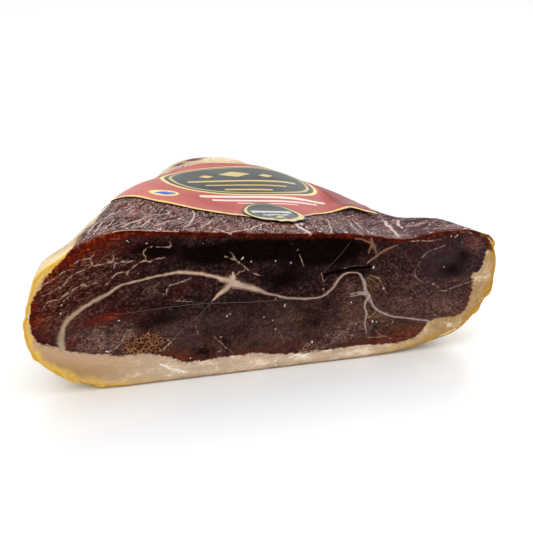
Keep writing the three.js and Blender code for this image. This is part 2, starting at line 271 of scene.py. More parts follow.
# Thin seams in groups: width, tone from 0 for dark brown to 1 for white, and the lines' points.
THIN_SEAMS = {
    "left_lace": (0.65, 0.5, [
        [(-112, 72.5), (-109, 74), (-103, 75), (-101, 76.5)],
        [(-90.5, 75), (-90.5, 72), (-90, 70), (-90.5, 68.5)],
        [(-131, 61), (-125.5, 64.5), (-121, 66), (-118.5, 68.5), (-115, 69.5)],
        [(-129.5, 56.5), (-123.5, 59), (-117.5, 62), (-115, 64.5), (-110.5, 68), (-107.5, 68.5),
        (-102, 70.5)],
        [(-117.5, 62), (-119.5, 60.5), (-120, 59.5)],
        [(-129.5, 49.5), (-126.5, 53), (-121.5, 54)],
        [(-118.5, 52.5), (-116, 54.5), (-112.5, 57)]]),
    "left_branches": (0.75, 0.55, [
        [(-103, 74.5), (-102, 72.5), (-102.5, 71), (-97, 71), (-89.5, 71.5)],
        [(-95, 71.5), (-91.5, 72), (-88, 70.5), (-85.5, 71.5), (-84, 71), (-79.5, 71.5)],
        [(-121.5, 53.5), (-116, 57), (-107.5, 60.5), (-105.5, 59.5), (-99.5, 61.5)],
        [(-95.5, 59.5), (-90.5, 63.5), (-87.5, 65.5), (-82.5, 66), (-77.5, 69.5), (-73, 71),
        (-70, 70), (-68, 71), (-62, 71.5)],
        [(-82.5, 66), (-83, 64.5), (-82.5, 63)]]),
    "left_faint": (0.5, 0.35, [
        [(-94, 60), (-92, 62), (-90, 63.5)],
        [(-62, 47.5), (-54, 46), (-47, 45)]]),
    "upper_hooks": (0.7, 0.45, [
        [(-72.5, 71), (-73, 73.5), (-74, 75.5), (-72, 78), (-69, 78.5)],
        [(-66.5, 78), (-61.5, 77.5), (-59.5, 77), (-58.5, 78.5), (-59, 80.5)],
        [(-63.5, 51), (-62, 50), (-60.5, 54.5), (-57, 56), (-50, 57.5), (-47.5, 58.5)]]),
    "under_rim": (0.5, 0.6, [
        [(82, 67.5), (91.5, 67), (104.5, 67)]]),
    "low_left": (0.6, 0.6, [
        [(-92.5, 21), (-88, 25), (-86.5, 28.5), (-85, 30.5)],
        [(-65, 18), (-62.5, 20.5), (-57, 25)]]),
    "above_knot": (0.75, 0.45, [
        [(-21.5, 58), (-19, 59), (-15.5, 60)],
        [(-28, 69), (-22, 66), (-19, 64), (-14.5, 60), (-10, 57), (-7.5, 56)],
        [(-25, 71), (-23.5, 69.5), (-21.5, 66.5)]]),
    "dashes": (0.5, 0.4, [
        [(-45.5, 31), (-44, 26)],
        [(5, 20), (7, 14)],
        [(16.5, 65.5), (17.5, 63), (19, 59)],
        [(29, 54), (30, 51.5), (31, 48.5)]]),
    "low_middle": (0.55, 0.35, [
        [(-35.5, 24), (-30, 19), (-27.5, 16), (-23, 12)],
        [(-27.5, 16), (-30, 14.5), (-33.5, 13.5)]]),
    "below_crevice": (0.55, 0.2, [
        [(35.5, 52), (43, 54.5), (50, 56), (57.5, 55.5)],
        [(57.5, 49), (61, 46.5), (63.5, 44), (65, 41)],
        [(57, 48), (59, 44.5), (61, 38)]]),
    "right_of_loop": (0.6, 0.4, [
        [(58.5, 50), (62.5, 48.5), (66, 46), (69.5, 38)],
        [(59, 24), (61.5, 25.5), (63.5, 27.5)],
        [(62.5, 17), (67, 13), (73.5, 9.5)],
        [(56, 13), (60.5, 12), (68, 11.5)],
        [(73.5, 21.5), (74.5, 19.5), (68.5, 17.5)]]),
    "right_muscle": (0.6, 0.4, [
        [(106.5, 63.5), (97.5, 61), (94, 59), (91.5, 56), (87.5, 49), (88.5, 46), (93, 42)],
        [(99, 41), (102, 39), (105, 36), (108.5, 35.5), (112, 37), (123, 39)]]),
    "right_low": (0.55, 0.4, [
        [(96, 27.5), (100, 23), (104, 19)],
        [(78, 32.5), (82, 32.5), (86.5, 33)]]),
}

# The film's painted highlights on the cut face, bright ones and duller ones along its folds, in the same
# form.
FILM_HIGHLIGHTS = {
    "bright": (1.1, 0.9, [
        [(-66, 11), (-63.5, 10), (-60, 7.5), (-55, 5.5), (-50.5, 4.5)],
        [(-137.5, 45), (-138.5, 52), (-136.5, 60)],
        [(117, 70.5), (120.5, 70.5), (124, 68.5)],
        [(10, 5.5), (15, 6.5), (19, 6), (22, 6.5)]]),
    "thin": (0.7, 0.85, [
        [(-96.5, 21.5), (-94.5, 21), (-92.5, 21.5)],
        [(103, 5), (105.5, 8), (113, 10.5), (115.5, 11)]]),
    "folds": (0.7, 0.3, [
        [(-128, 29.5), (-120, 25), (-116, 23), (-102.5, 19.5), (-97, 19)]]),
}

# Streaks on the sides, in the same form, with each point's row of the edge and depth.
TOP_LINES = {
    "seam": (2.2, 0.75, [
        [(30.7, 48), (30.74, 35), (30.78, 24), (30.8, 12), (30.84, 0)]]),
    "contours": (0.8, 0.5, [
        [(28.38, 69), (28.76, 64), (29.1, 57), (29.6, 36), (29.9, 14), (29.94, 0)],
        [(28.32, 67), (28.74, 62), (29.04, 53), (29.4, 36), (29.66, 13), (29.6, 4)],
        [(29.74, 56), (30.06, 40), (30.3, 21), (30.46, 2)]]),
    "valley": (1.6, 0.6, [
        [(27.58, 60), (28.28, 43), (28.6, 32), (28.86, 21), (29.08, 5)],
        [(27.22, 60), (28.24, 33), (28.5, 22)]]),
    "left": (1.0, 0.6, [
        [(35.44, 20), (35.38, 38), (34.96, 46), (34.76, 52)],
        [(34.82, 20), (34.6, 32), (34.42, 40), (34.36, 49)],
        [(34.68, 10), (34.48, 21), (34.36, 33)],
        [(34.34, 16), (34.12, 22), (34, 31)],
        [(33.92, 10), (33.7, 20), (33.42, 34)],
        [(34.1, 54), (33.84, 59), (33.7, 67)],
        [(33.64, 10), (33.44, 18), (33.3, 31)],
        [(34.38, 50), (34.16, 59), (33.96, 66), (33.86, 74)],
        [(33.24, 16), (33.02, 26), (32.88, 34)]]),
    "middle": (1.1, 0.5, [
        [(33.46, 32), (33.3, 45), (33.1, 52), (32.96, 55), (32.84, 64)],
        [(32.3, 68), (32.38, 54), (32.54, 30), (32.72, 16)],
        [(32.4, 17), (32.16, 35), (32.04, 48)]]),
    "edge": (1.2, 0.7, [
        [(32.02, 0), (31.88, 6), (31.68, 12), (31.46, 24), (31.24, 34)],
        [(32.14, 14), (32.08, 3), (31.98, 0)]]),
    # A painted highlight along the cut's upper edge.
    "rim": (0.9, 0.8, [
        [(34.1, 1), (33.6, 1), (33.2, 1), (32.9, 1)]]),
    "film_glint": (2.2, 1.0, [
        [(36.1, 8), (36.8, 7), (37.6, 6), (38.4, 4), (39.2, 4)],
        [(26.5, 2), (26.8, 2.5), (27.1, 3)]]),
}

# Straight creases across the cut face, with a pale painted highlight above and dark painted shade below:
# points and width.
CREASES = [([(-90, 42), (-60, 43), (-39.5, 43), (-12, 41), (12, 40)], 0.35),
           ([(-35.5, 43.5), (-46, 34.5), (-59, 24.5)], 0.28),
           ([(27, 51), (40, 62.5), (47, 70.5)], 0.25)]

# Pale crystals on the lean: across and up.
SPECKS = [(-18, 66.5), (2, 63.5), (-25, 35.5), (-5, 31.5), (7.5, 37.5), (2, 23.5), (-30.5, 22.5),
          (-72, 80.5), (-12.5, 64.5), (44, 55)]

# White glints where the film stands off the meat: across, up, half length and turn in degrees.
GLINTS = [(-82.5, 82.5, 1.7, 58), (-88.5, 38.5, 1.2, 60), (-119.5, 50.5, 1.2, 70), (-120, 46, 0.9, 0),
          (-17.5, 67, 1.6, -20), (15, 68.5, 1.4, -10), (-27, 34.5, 1.2, -30), (7.5, 36.5, 1, -20),
          (-30.5, 20.5, 1.2, -10), (-48.5, 12.5, 1, 80), (48, 34.5, 1.5, 50), (61.5, 21.5, 1.6, -10),
          (64, 21, 1.1, 50), (24, 13.5, 1.8, 10), (61.5, 54, 1.7, -5), (59.5, 38, 1.2, 0),
          (68, 41, 1.2, -50), (110.5, 68, 1.6, 10), (114, 68.5, 1.2, 10), (106, 50, 0.8, 0)]

# Patches of the cut face: middle, radii, turn in degrees and strength.
PATCHES = {
    "red": [(-128, 68, 7, 15, 28, 0.8), (-97, 40, 12, 3, 8, 1.5), (-131, 44, 6, 14, 10, 0.9),
        (-115, 29, 5, 3, 0, 0.7), (-56, 15, 12, 3.5, -14, 0.8), (-100, 77, 19, 5, 18, 0.8),
        (-13, 12, 20, 2, 4, 0.7), (17, 12, 18, 2.5, 4, 0.5), (58, 10, 20, 2.5, 6, 0.8),
        (124, 30, 2.5, 9, -14, 0.9), (113, 18, 8.5, 3, 26, 0.6), (103, 67, 20, 2, 12, 0.7),
        (124, 64, 2.5, 6, 50, 0.8), (-51, 53, 8.5, 3, 20, 0.5), (-120, 20, 3, 8, -30, 0.7)],
    "even": [(107, 51, 19, 13, -8, 1.0), (0, 40, 34, 8, -4, 0.5)],
    "ember": [(80, 11, 14, 3.5, 10, 0.5), (-92, 41, 3.5, 1.5, 8, 0.4), (-133, 43, 3, 4, -20, 0.4),
        (-53, 13, 7, 1.5, -14, 0.3)],
    "olive": [(66, 24, 6, 3.5, -20, 1.2), (77, 17, 7, 2.5, -8, 1.0), (62, 44, 5.5, 6.5, -40, 0.8),
        (45, 29, 3.5, 2.5, 0, 0.6), (15, 28, 8, 3, 0, 0.5), (-86, 31, 4, 2.5, 10, 0.8),
        (54, 33, 2, 3.5, 0, 0.8)],
    "honeycomb": [(-75.5, 23, 13, 6, -4, 1.4)],
    "haze": [(47, 42, 6.5, 6, 0, 1.2), (48, 27, 11, 7, 10, 1.0), (-67, 26, 6, 3.5, -30, 1.0),
        (-98, 25, 13, 5, 6, 0.9), (126, 62, 6.5, 6, -40, 1.1), (108, 28, 12, 5.5, -20, 0.8),
        (88, 41, 12, 3, 0, 0.5), (114, 41, 10, 2, 8, 0.9), (84, 27, 11, 5, -20, 1.0),
        (-114, 41, 9.5, 7, 30, 0.4)],
    "crust": [(134, 62, 2, 7, 30, 1.0), (125, 69, 2.5, 5, 62, 0.8)],
    "fibres": [(80, 51, 13, 9, 30, 1.0), (72, 38, 16, 7, 20, 0.8), (102, 28, 20, 7, -24, 1.1),
        (66, 26, 9.5, 5, -10, 0.9), (60, 42, 5, 6, 0, 0.8), (118, 34, 6, 6, 0, 0.8)],
    "black": [(-12, 71, 32, 8, -3, 1.0), (34, 67, 22, 9, -3, 1.3), (7, 52, 14.5, 7, 0, 0.8),
        (120, 57, 6.5, 5, 0, 0.7), (111, 48, 11, 5.5, 0, 0.65), (-62, 36.5, 20, 5, 5, 0.6),
        (-39, 70, 13, 5, 0, 0.7), (-71, 76, 19, 5.5, 0, 0.85), (50, 51, 7, 1.5, 6, 0.9)],
    "lace": [(-112, 64, 25, 13.5, 24, 1.2), (92, 36, 24, 12, -30, 0.7), (-123, 42, 9.5, 10.5, 0, 0.9),
        (-87, 71, 18, 7, 8, 0.5)],
    "scales": [(-97, 30, 15, 6, 6, 1.5), (48, 18, 20.5, 5, 12, 1.2),
        (110, 26, 11, 5.5, -20, 0.5), (23, 10, 8.5, 3, 0, 0.9), (-71, 54, 18, 5.5, 10, 0.4)],
}

# Where the fat reaches further in than on the solids, or less far: like patches, in millimetres.
FAT_BUMPS = [(-132, 63, 5, 4, 40, 2.6), (-139, 52, 3, 4, 0, 1.4), (-139, 36, 3, 5, 0, 1.8),
             (130, 44, 5, 9, 0, -4.2), (114, 23, 8, 4, 0, -1.5)]

# Patches of the sides, by place across and depth.
SIDE_PATCHES = {
    "red": [(9, 189.5, 2, 12, -66, 3)],
    "crust": [(130, 0, 9, 4, 0, 0.8)],
    "haze": [(-5, 171, 4.5, 15, -52, 1.4)],
}

# The middle of the crevice, a gap in the lean painted dark as shade: across and up.
CREVICE = [(29.5, 50.2), (33.5, 52.6), (42, 53.6), (48, 54.4), (57.4, 54.4), (63, 53.4)]

# The ham's mesh

# The cut face is a grid of columns between the edge's lower and upper halves. Its rim is carried
# back ring by ring to the small end.
RIM = 1.3
FOOT_MIDDLE_ROW = 13.3
COLUMN_RAMP = 0.12
# How many rows the fat creeps up over the left side and the left of the top, by depth.
FAT_CREEP = [(0, 0), (10, 0.4), (40, 0.55), (80, 0.3), (227, 0.3)]
# A distance to lines that are nowhere near.
FAR = 99.0

# Relief of the cut face: swellings, seams, the lean's grain, the fat and the crevice, which fades
# in and out over shares of its length.
SWELL, SEAM_RISE, GRAIN_RISE, FAT_RISE = 0.5, 0.5, 0.45, 0.6
CREVICE_HALF, CREVICE_DEPTH, CREVICE_IN, CREVICE_OUT = 1.2, 1.5, 0.15, 0.2
# How the lean's edge and the drawn lines stray, and the sizes of crystals and glints.
LEAN_WOBBLE, LEAN_FRAY, LEFT_FRAY = 1.8, 0.4, 2.4
LINE_SWAY, TOP_SWAY = 1.3, 1.5
SPECK_RADIUS, GLINT_HALF, GLINT_SHARE = 0.75, 0.45, 0.7
# How far down from the upper edge the lean glows, by place across.
GLOW_WIDTH = [(-135, 5), (-112, 8), (-97, 7), (-80, 4), (-50, 3), (50, 2.8), (90, 2.4), (115, 2)]

# Relief of the sides. It fades out at the rim and the tip, and the lean's streaks fade out under
# the label. Fat covers the small end.
SIDE_SWELL, STREAK_RISE, WRINKLE_RISE, RIND_RISE = 0.8, 1.3, 1.1, 1.5
RIDGE_ROW, RIDGE_ROWS, RIDGE_RISE = 34.5, 1.2, 1.5
FILM_BUMPS = 2.0
UNDER_LABEL, AT_RIM, AT_TIP = (56, 66), (0, 14), (224, 205)
END_FAT_FROM, END_FAT_FULL = 160, 175


def edge_halves(samples=2800):
    """The lower half of the edge and the upper half, each as across, up and row from left to right."""
    rows = np.linspace(0, ROWS, samples, endpoint=False)
    edge = edge_at(rows)
    left, right = rows[np.argmin(edge[:, 0])], rows[np.argmax(edge[:, 0])]
    halves = []
    for start, end in ((left, right), (left + ROWS, right)):
        r = np.linspace(start, end, samples)
        e = edge_at(r)
        halves.append((np.maximum.accumulate(e[:, 0]), e[:, 1], r))
    return halves


LOWER, UPPER = edge_halves()
EDGE_ROWS = np.linspace(0, ROWS, 1400, endpoint=False)
EDGE_LINE = edge_at(EDGE_ROWS)
EDGE_ARC = np.concatenate([[0], np.cumsum(np.hypot(*np.diff(EDGE_LINE[:, :2], axis=0).T))])


def arc_at(row):
    """Millimetres along the cut face's edge, counted from the middle of the foot."""
    whole = EDGE_ARC[-1] + np.hypot(*(EDGE_LINE[0, :2] - EDGE_LINE[-1, :2]))
    arc = np.interp(np.asarray(row, float) % ROWS, EDGE_ROWS, EDGE_ARC)
    return (arc - np.interp(FOOT_MIDDLE_ROW, EDGE_ROWS, EDGE_ARC)) % whole


def fat_inset(row):
    """How deep the fat goes in from the edge at a row, below zero where the lean is bare."""
    fat = edge_at(row)[..., 2]
    return fat - BARE_RISE * smooth(0, THIN_FAT, THIN_FAT - fat)


def far_from(x, z, line, at_once=4000):
    """Distance of each point to the nearest of a line's points."""
    points = np.stack([x.ravel(), z.ravel()], -1)
    far = [np.sqrt(((points[start:start + at_once, None] - line[None]) ** 2).sum(-1).min(1))
           for start in range(0, len(points), at_once)]
    return np.concatenate(far).reshape(x.shape)


def inside(x, z, line):
    """Whether each point is inside a closed line."""
    odd = np.zeros(x.shape, bool)
    for a, b in zip(line, np.roll(line, -1, 0)):
        crosses = (a[1] > z) != (b[1] > z)
        odd ^= crosses & (x < a[0] + (b[0] - a[0]) * (z - a[1]) / (b[1] - a[1] + 1e-12))
    return odd


def lean_line():
    """The outline of the lean on the cut face, outside the edge where no fat lies."""
    along = (edge_at(EDGE_ROWS + 0.02) - edge_at(EDGE_ROWS - 0.02))[:, :2]
    inward = np.stack([-along[:, 1], along[:, 0]], -1)
    inward /= np.linalg.norm(inward, axis=-1, keepdims=True)
    return EDGE_LINE[:, :2] + inward * fat_inset(EDGE_ROWS)[:, None]


def column_places(columns):
    """Shares across, closer together toward both ends, where the edge turns upright."""
    c = (np.arange(columns) + 0.5) / columns
    step = np.minimum(1, np.minimum(c, 1 - c) / COLUMN_RAMP)
    return np.concatenate([[0], np.cumsum(step) / step.sum()])


def quads_of(number):
    """The quads between neighbours in a grid of point numbers."""
    corners = [number[:-1, :-1], number[1:, :-1], number[1:, 1:], number[:-1, 1:]]
    return np.stack(corners, -1).reshape(-1, 4)


class HamGrid:
    """Where the points of the ham's surface lie on the cut face, and which of them make a face."""

    def __init__(self, columns, layers, depths):
        self.columns, self.layers = columns, layers
        self.depths = np.asarray(depths, float)
        left, right = LOWER[0][0], LOWER[0][-1]
        x = left + (right - left) * column_places(columns)
        lower, rows_low = [np.interp(x, LOWER[0], values) for values in LOWER[1:]]
        upper, rows_up = [np.interp(x, UPPER[0], values) for values in UPPER[1:]]
        self.ring_x = np.concatenate([x, x[-2:0:-1]])
        self.ring_z = np.concatenate([lower, upper[-2:0:-1]])
        self.ring_row = np.concatenate([rows_low, rows_up[-2:0:-1]])
        share = np.arange(1, layers) / layers
        inner = slice(1, columns)
        self.face_x = np.repeat(x[inner, None], layers - 1, 1)
        self.face_z = lower[inner, None] + (upper - lower)[inner, None] * share
        self.face_row = np.where(share[None] > 0.5, rows_up[inner, None], rows_low[inner, None])

    def faces(self):
        """Quads and triangles of the whole closed surface, facing out."""
        n, m, ring, rings = self.columns, self.layers, 2 * self.columns, len(self.depths)
        tip = ring * rings + (n - 1) * (m - 1)
        cut = np.repeat(np.arange(n + 1)[:, None], m + 1, 1)
        cut[1:n, m] = ring - np.arange(1, n)
        cut[1:n, 1:m] = np.arange(ring * rings, tip).reshape(n - 1, m - 1)
        cut_faces = [[corner for k, corner in enumerate(quad) if corner != quad[k - 1]]
                     for quad in quads_of(cut).tolist()]
        around = np.arange(ring * rings).reshape(rings, ring)
        after = np.roll(around, -1, 1)
        sides = np.stack([after[:-1], around[:-1], around[1:], after[1:]], -1).reshape(-1, 4)
        end = np.stack([after[-1], around[-1], np.full(ring, tip)], -1)
        return [face for face in cut_faces if len(face) > 2] + sides.tolist() + end.tolist()


def lines_in(groups):
    """Every line of a table's groups, with its group's width and tone."""
    return [(points, width, shade) for width, shade, lines in groups.values() for points in lines]


def line_marks(name, x, z, table, ragged):
    """For the nearest line of a table: signed distance in half widths, distance to its edge, tone."""
    best, side, reach, shades = np.full((4,) + x.shape, FAR)
    for points, width, shade in table:
        line = curve_through(points)
        far, along, left_of = near_line(x, z, line[:, :2])
        half = 0.5 * width * ragged
        if line.shape[1] > 2:
            half = half * np.interp(along, np.linspace(0, 1, len(line)), line[:, 2])
        else:
            half = half * (0.55 + 0.45 * np.sin(np.pi * np.clip(along, 0.02, 0.98)) ** 0.5)
        closer = far / half < best
        best = np.where(closer, far / half, best)
        side = np.where(closer, far / half * left_of, side)
        reach = np.where(closer, far - half, reach)
        shades = np.where(closer, shade, shades)
    return {name: side, name + "_far": reach, name + "_tone": shades}


def cut_relief(x, z):
    """How far the cut face stands out toward the viewer, in millimetres, and its marks."""
    where = flat(x, z)
    fine = wave(where, 2.2, 5, 2)
    lean = lean_line()
    to_lean = far_from(x, z, lean) * np.where(inside(x, z, lean), 1, -1) - spots(x, z, FAT_BUMPS)
    fray = LEAN_FRAY + LEFT_FRAY * smooth(-112, -130, x)
    to_lean = to_lean + LEAN_WOBBLE * wave(where, 9, 3, 2) + fray * fine
    bent = x + LINE_SWAY * wave(where, 6, 21, 3), z + LINE_SWAY * wave(where, 6, 33, 3)
    ragged = 0.8 + 0.5 * noise(where, 3.5, 9, 2)
    far, along, _ = near_line(x, z, curve_through(CREVICE))
    crevice = np.exp(-(far / CREVICE_HALF) ** 2) * smooth(0, CREVICE_IN, along)
    crevice = crevice * smooth(0, CREVICE_OUT, 1 - along)
    marks = {"lean": to_lean, "crevice": crevice, "glow": glow_mark(x, z),
             **line_marks("seam", *bent, [(line, 1, 0) for line in SEAMS.values()], ragged),
             **line_marks("vein", *bent, lines_in(THIN_SEAMS), ragged),
             **line_marks("film", *bent, lines_in(FILM_HIGHLIGHTS), ragged),
             **line_marks("crease", x, z, [(line, width, 0) for line, width in CREASES], 1),
             **{name: spots(x, z, patches) for name, patches in PATCHES.items()}}
    marks["speck"] = sum(spot(x, z, *speck, SPECK_RADIUS, SPECK_RADIUS) for speck in SPECKS)
    marks["glint"] = sum(spot(x, z, *middle, GLINT_HALF, GLINT_SHARE * long, turn)
                         for *middle, long, turn in GLINTS)
    rise = SWELL * wave(where, 26, 2) + SEAM_RISE * smooth(0.4, -0.4, marks["seam_far"])
    rise = rise + GRAIN_RISE * fine * smooth(-1, 1, to_lean) + FAT_RISE * smooth(1, -4, to_lean)
    return rise - CREVICE_DEPTH * crevice, marks


def glow_mark(x, z):
    """How much the cut face glows red near its upper edge, most at the left."""
    upper = np.stack([UPPER[0], UPPER[1]], -1)[::4]
    width = np.interp(x, *np.transpose(GLOW_WIDTH))
    return np.exp(-(far_from(x, z, upper) / width) ** 2)


def side_relief(points, row, depth):
    """How far the sides stand out, in millimetres. The lean stays smooth where the label lies."""
    bare = smooth(0, 2, -fat_inset(row))
    skin = flat(arc_at(row), depth)
    wrinkles = 1 - np.abs(2 * noise(skin, (9, 34, 9), 8, 2) - 1)
    dry = STREAK_RISE * wave(skin, (4.5, 26, 9), 4, 2) + WRINKLE_RISE * (wrinkles - 0.75)
    dry = dry * bare * (1 - smooth(*UNDER_LABEL, depth) * bare)
    fat = RIND_RISE * wave(skin, (16, 22, 9), 12, 2) * (1 - bare)
    ridge = np.exp(-((row % ROWS - RIDGE_ROW) / RIDGE_ROWS) ** 2)
    ridge = ridge * smooth(10, 40, depth) * smooth(165, 110, depth)
    rise = SIDE_SWELL * wave(points, 34, 6) + dry + fat + RIDGE_RISE * ridge
    return rise * smooth(*AT_RIM, depth) * smooth(*AT_TIP, depth)


def rounding(far):
    """How far the surface lies back at a distance from the rim, on a quarter round."""
    near = 1 - np.clip(far / RIM, 0, 1)
    return RIM * (1 - np.sqrt(1 - near**2))


def side_marks(points, row, depth):
    """What lies where on the sides: dry lean or fat, the film's lines and the patches."""
    skin_x = arc_at(row)
    skin = flat(skin_x, depth)
    on_left = smooth(30, 32, row % ROWS) + smooth(4, 2, row % ROWS)
    fat = fat_inset(row + on_left * value_at(FAT_CREEP, depth))
    end_fat = 15 * smooth(END_FAT_FROM, END_FAT_FULL, depth)
    marks = {"lean": -2 * fat - end_fat + 4 * wave(points, 10, 3, 2),
             "front": smooth(1.5, 0.6, depth), "rim": 0 * depth, "skin_x": skin_x, "skin_y": depth}
    lines = [([(float(arc_at(r)), d) for r, d in line], width, shade)
             for line, width, shade in lines_in(TOP_LINES)]
    bent = skin_x + TOP_SWAY * wave(skin, 8, 41, 2)
    marks.update(line_marks("vein", bent, depth, lines, 0.7 + 0.6 * noise(skin, 4, 43, 2)))
    on_top = smooth(20, 40, points[..., 2])
    for name, patches in SIDE_PATCHES.items():
        marks[name] = on_top * spots(points[..., 0], depth, patches)
    return marks


def side_points(grid, lift):
    """The sides, rows of the rim first and depths second, and their marks."""
    ring = [line[:, None] for line in (grid.ring_x, grid.ring_z, grid.ring_row)]
    x, z, row, depth = np.broadcast_arrays(*ring, grid.depths)
    base = place(x, z, np.maximum(depth, 0.01))
    bumps = smooth(0.48, 0.72, noise(flat(arc_at(row), depth), (9, 40, 9), 50, 2))
    bumps = bumps * smooth(16, 0, depth) * smooth(85, 112, np.abs(x))
    bumps = bumps * np.where(x > 0, 1, 0.5) * smooth(80, 60, z)
    rise = side_relief(base, row, depth) + FILM_BUMPS * bumps + lift - rounding(depth)
    points = base + normals_of(base, ring=True) * rise[..., None]
    glow = glow_mark(grid.ring_x, grid.ring_z)[:, None] + 0 * depth
    return points, {**side_marks(points, row, depth), "glow": glow}


def face_points(grid, lift):
    """The cut face inside its rim, and its marks."""
    x, z = grid.face_x, grid.face_z
    rim = far_from(x, z, EDGE_LINE[:, :2])
    rise, marks = cut_relief(x, z)
    forward = rise * smooth(0, 3, rim) + lift - rounding(rim)
    marks.update({"front": 0 * x + 1, "rim": rim, "skin_x": arc_at(grid.face_row), "skin_y": 0 * x})
    return np.stack([x, CUT_Y - forward, z], -1), marks


def ham_points(grid, lift, floor):
    """All points of the surface in millimetres in the part's frame, and its marks by name."""
    sides, on_sides = side_points(grid, lift)
    face, on_face = face_points(grid, lift)
    tip = place(0.0, HEIGHT / 2, DEPTH)[None] + (0, lift, 0)
    points = np.concatenate([sides.transpose(1, 0, 2).reshape(-1, 3), face.reshape(-1, 3), tip])
    points[:, 2] = np.maximum(points[:, 2], floor)
    marks = {}
    for name, values in on_face.items():
        elsewhere = FAR if name.startswith(("seam", "film", "crease")) else 0.0
        side = on_sides.get(name, np.full(sides.shape[:2], elsewhere))
        marks[name] = np.concatenate([side.T.ravel(), values.ravel(), [side[-1, -1]]])
    return points, marks


def make_mesh(name, points, faces, marks, material):
    """A smooth mesh object from points in millimetres, with its marks as attributes."""
    mesh = bpy.data.meshes.new(name)
    mesh.from_pydata((points / 1000).tolist(), [], faces)
    mesh.shade_smooth()
    for mark, values in marks.items():
        attribute = mesh.attributes.new(mark, "FLOAT", "POINT")
        attribute.data.foreach_set("value", np.asarray(values, np.float32))
    mesh.materials.append(material)
    piece = bpy.data.objects.new(name, mesh)
    bpy.context.scene.collection.objects.link(piece)
    return piece


# Materials

# A colour is a socket, or its red, green and blue as they show on a screen, 0 to 255. A value is
# a socket, a number, a mark's name, or a value with the limits of a span.

def tone(colour):
    """A shader colour from a screen colour. A socket stays as it is."""
    if not isinstance(colour, tuple):
        return colour
    levels = [v / 255 for v in colour]
    return [v / 12.92 if v <= 0.04045 else ((v + 0.055) / 1.055) ** 2.4 for v in levels] + [1.0]


class Tree:
    """Builds one material's nodes."""

    def __init__(self, name):
        self.material = bpy.data.materials.new(name)
        self.material.use_nodes = True
        self.nodes = self.material.node_tree.nodes
        self.links = self.material.node_tree.links
        self.nodes.clear()
        self.out = self.node("OutputMaterial")
        self.mm = self.mapped(self.node("TexCoord").outputs["Object"], (0.001, 0.001, 0.001))

    def node(self, kind, inputs=None, **settings):
        """A new node with its settings, and with its inputs by name or number."""
        node = self.nodes.new("ShaderNode" + kind)
        for name, value in settings.items():
            setattr(node, name, value)
        for name, value in (inputs or {}).items():
            if isinstance(value, bpy.types.NodeSocket):
                self.links.new(value, node.inputs[name])
            else:
                node.inputs[name].default_value = value
        return node

    def value(self, given):
        """The socket or number that a value stands for."""
        if isinstance(given, str):
            return self.node("Attribute", attribute_name=given).outputs["Fac"]
        return self.span(*given) if isinstance(given, tuple) else given

    def vector(self, x, y):
        return self.node("CombineXYZ", {"X": self.value(x), "Y": self.value(y)}).outputs[0]

    def mapped(self, vector, scale, turn=(0, 0, 0)):
        inputs = {"Vector": vector, "Rotation": [math.radians(a) for a in turn], "Scale": scale}
        return self.node("Mapping", inputs, vector_type="TEXTURE").outputs[0]

    def noise(self, vector, size, detail=3.0, rough=0.55, bend=0.0, turn=(0, 0, 0)):
        """Noise from 0 to 1 with bumps about size apart: one number, or one for each axis."""
        if not isinstance(size, (int, float)):
            vector, size = self.mapped(vector, size, turn), 1
        inputs = {"Vector": vector, "Scale": 1 / size, "Detail": detail, "Roughness": rough,
                  "Distortion": bend}
        return self.node("TexNoise", inputs).outputs["Fac"]

    def cells(self, vector, size, feature="F1"):
        """Distance to the middle or the edge of random cells of a size."""
        if not isinstance(size, (int, float)):
            vector, size = self.mapped(vector, size), 1
        inputs = {"Vector": vector, "Scale": 1 / size}
        return self.node("TexVoronoi", inputs, feature=feature).outputs["Distance"]

    def math(self, kind, *values):
        return self.node("Math", dict(enumerate(map(self.value, values))), operation=kind).outputs[0]

    def plus(self, a, b):
        return self.math("ADD", a, b)

    def less(self, a, b):
        return self.math("SUBTRACT", a, b)

    def absolute(self, value):
        return self.math("ABSOLUTE", value)

    def times(self, total, *values):
        for value in values:
            total = self.math("MULTIPLY", total, value)
        return self.value(total)

    def span(self, value, low, high, to_low=0.0, to_high=1.0):
        """Maps low..high smoothly to to_low..to_high."""
        values = map(self.value, (value, low, high, to_low, to_high))
        inputs = dict(enumerate(values))
        return self.node("MapRange", inputs, interpolation_type="SMOOTHSTEP").outputs[0]

    def uneven(self, value, noise, amount):
        """A value with noise added, from -amount to amount."""
        return self.plus(value, (noise, 0.3, 0.7, -amount, amount))

    def lines(self, value, width):
        """1 where noise crosses its middle, as thin wandering lines."""
        return self.span(self.absolute(self.less(value, 0.5)), width, 0.0)

    def mix(self, share, under, over, kind="MIX"):
        """A colour that goes from under to over as the share goes from 0 to 1."""
        inputs = {"Factor": self.value(share), "A": tone(under), "B": tone(over)}
        settings = {"data_type": "RGBA", "blend_type": kind, "clamp_factor": True}
        return self.node("Mix", inputs, **settings).outputs["Result"]

    def bump(self, height, distance, strength):
        inputs = {"Height": height, "Distance": distance, "Strength": strength}
        return self.node("Bump", inputs).outputs[0]

    def surface(self, **inputs):
        inputs = {name.replace("_", " "): value for name, value in inputs.items()}
        self.links.new(self.node("BsdfPrincipled", inputs).outputs[0], self.out.inputs["Surface"])


# The middle of a noise's range, where its shading goes from dark to light.
MIDDLE = (0.34, 0.66)


class Layers:
    """A colour built up in layers, each laid over the last by the product of its shares."""

    def __init__(self, tree, colour):
        self.tree, self.colour = tree, colour

    def add(self, colour, *shares):
        self.colour = self.tree.mix(self.tree.times(*shares), self.colour, colour)

    def multiply(self, factor):
        self.colour = self.tree.mix(1.0, self.colour, factor, kind="MULTIPLY")

    def shade(self, value, low, high):
        """Multiplies by a factor from low to high as a noise value goes through its middle."""
        self.multiply(self.tree.span(value, *MIDDLE, low, high))


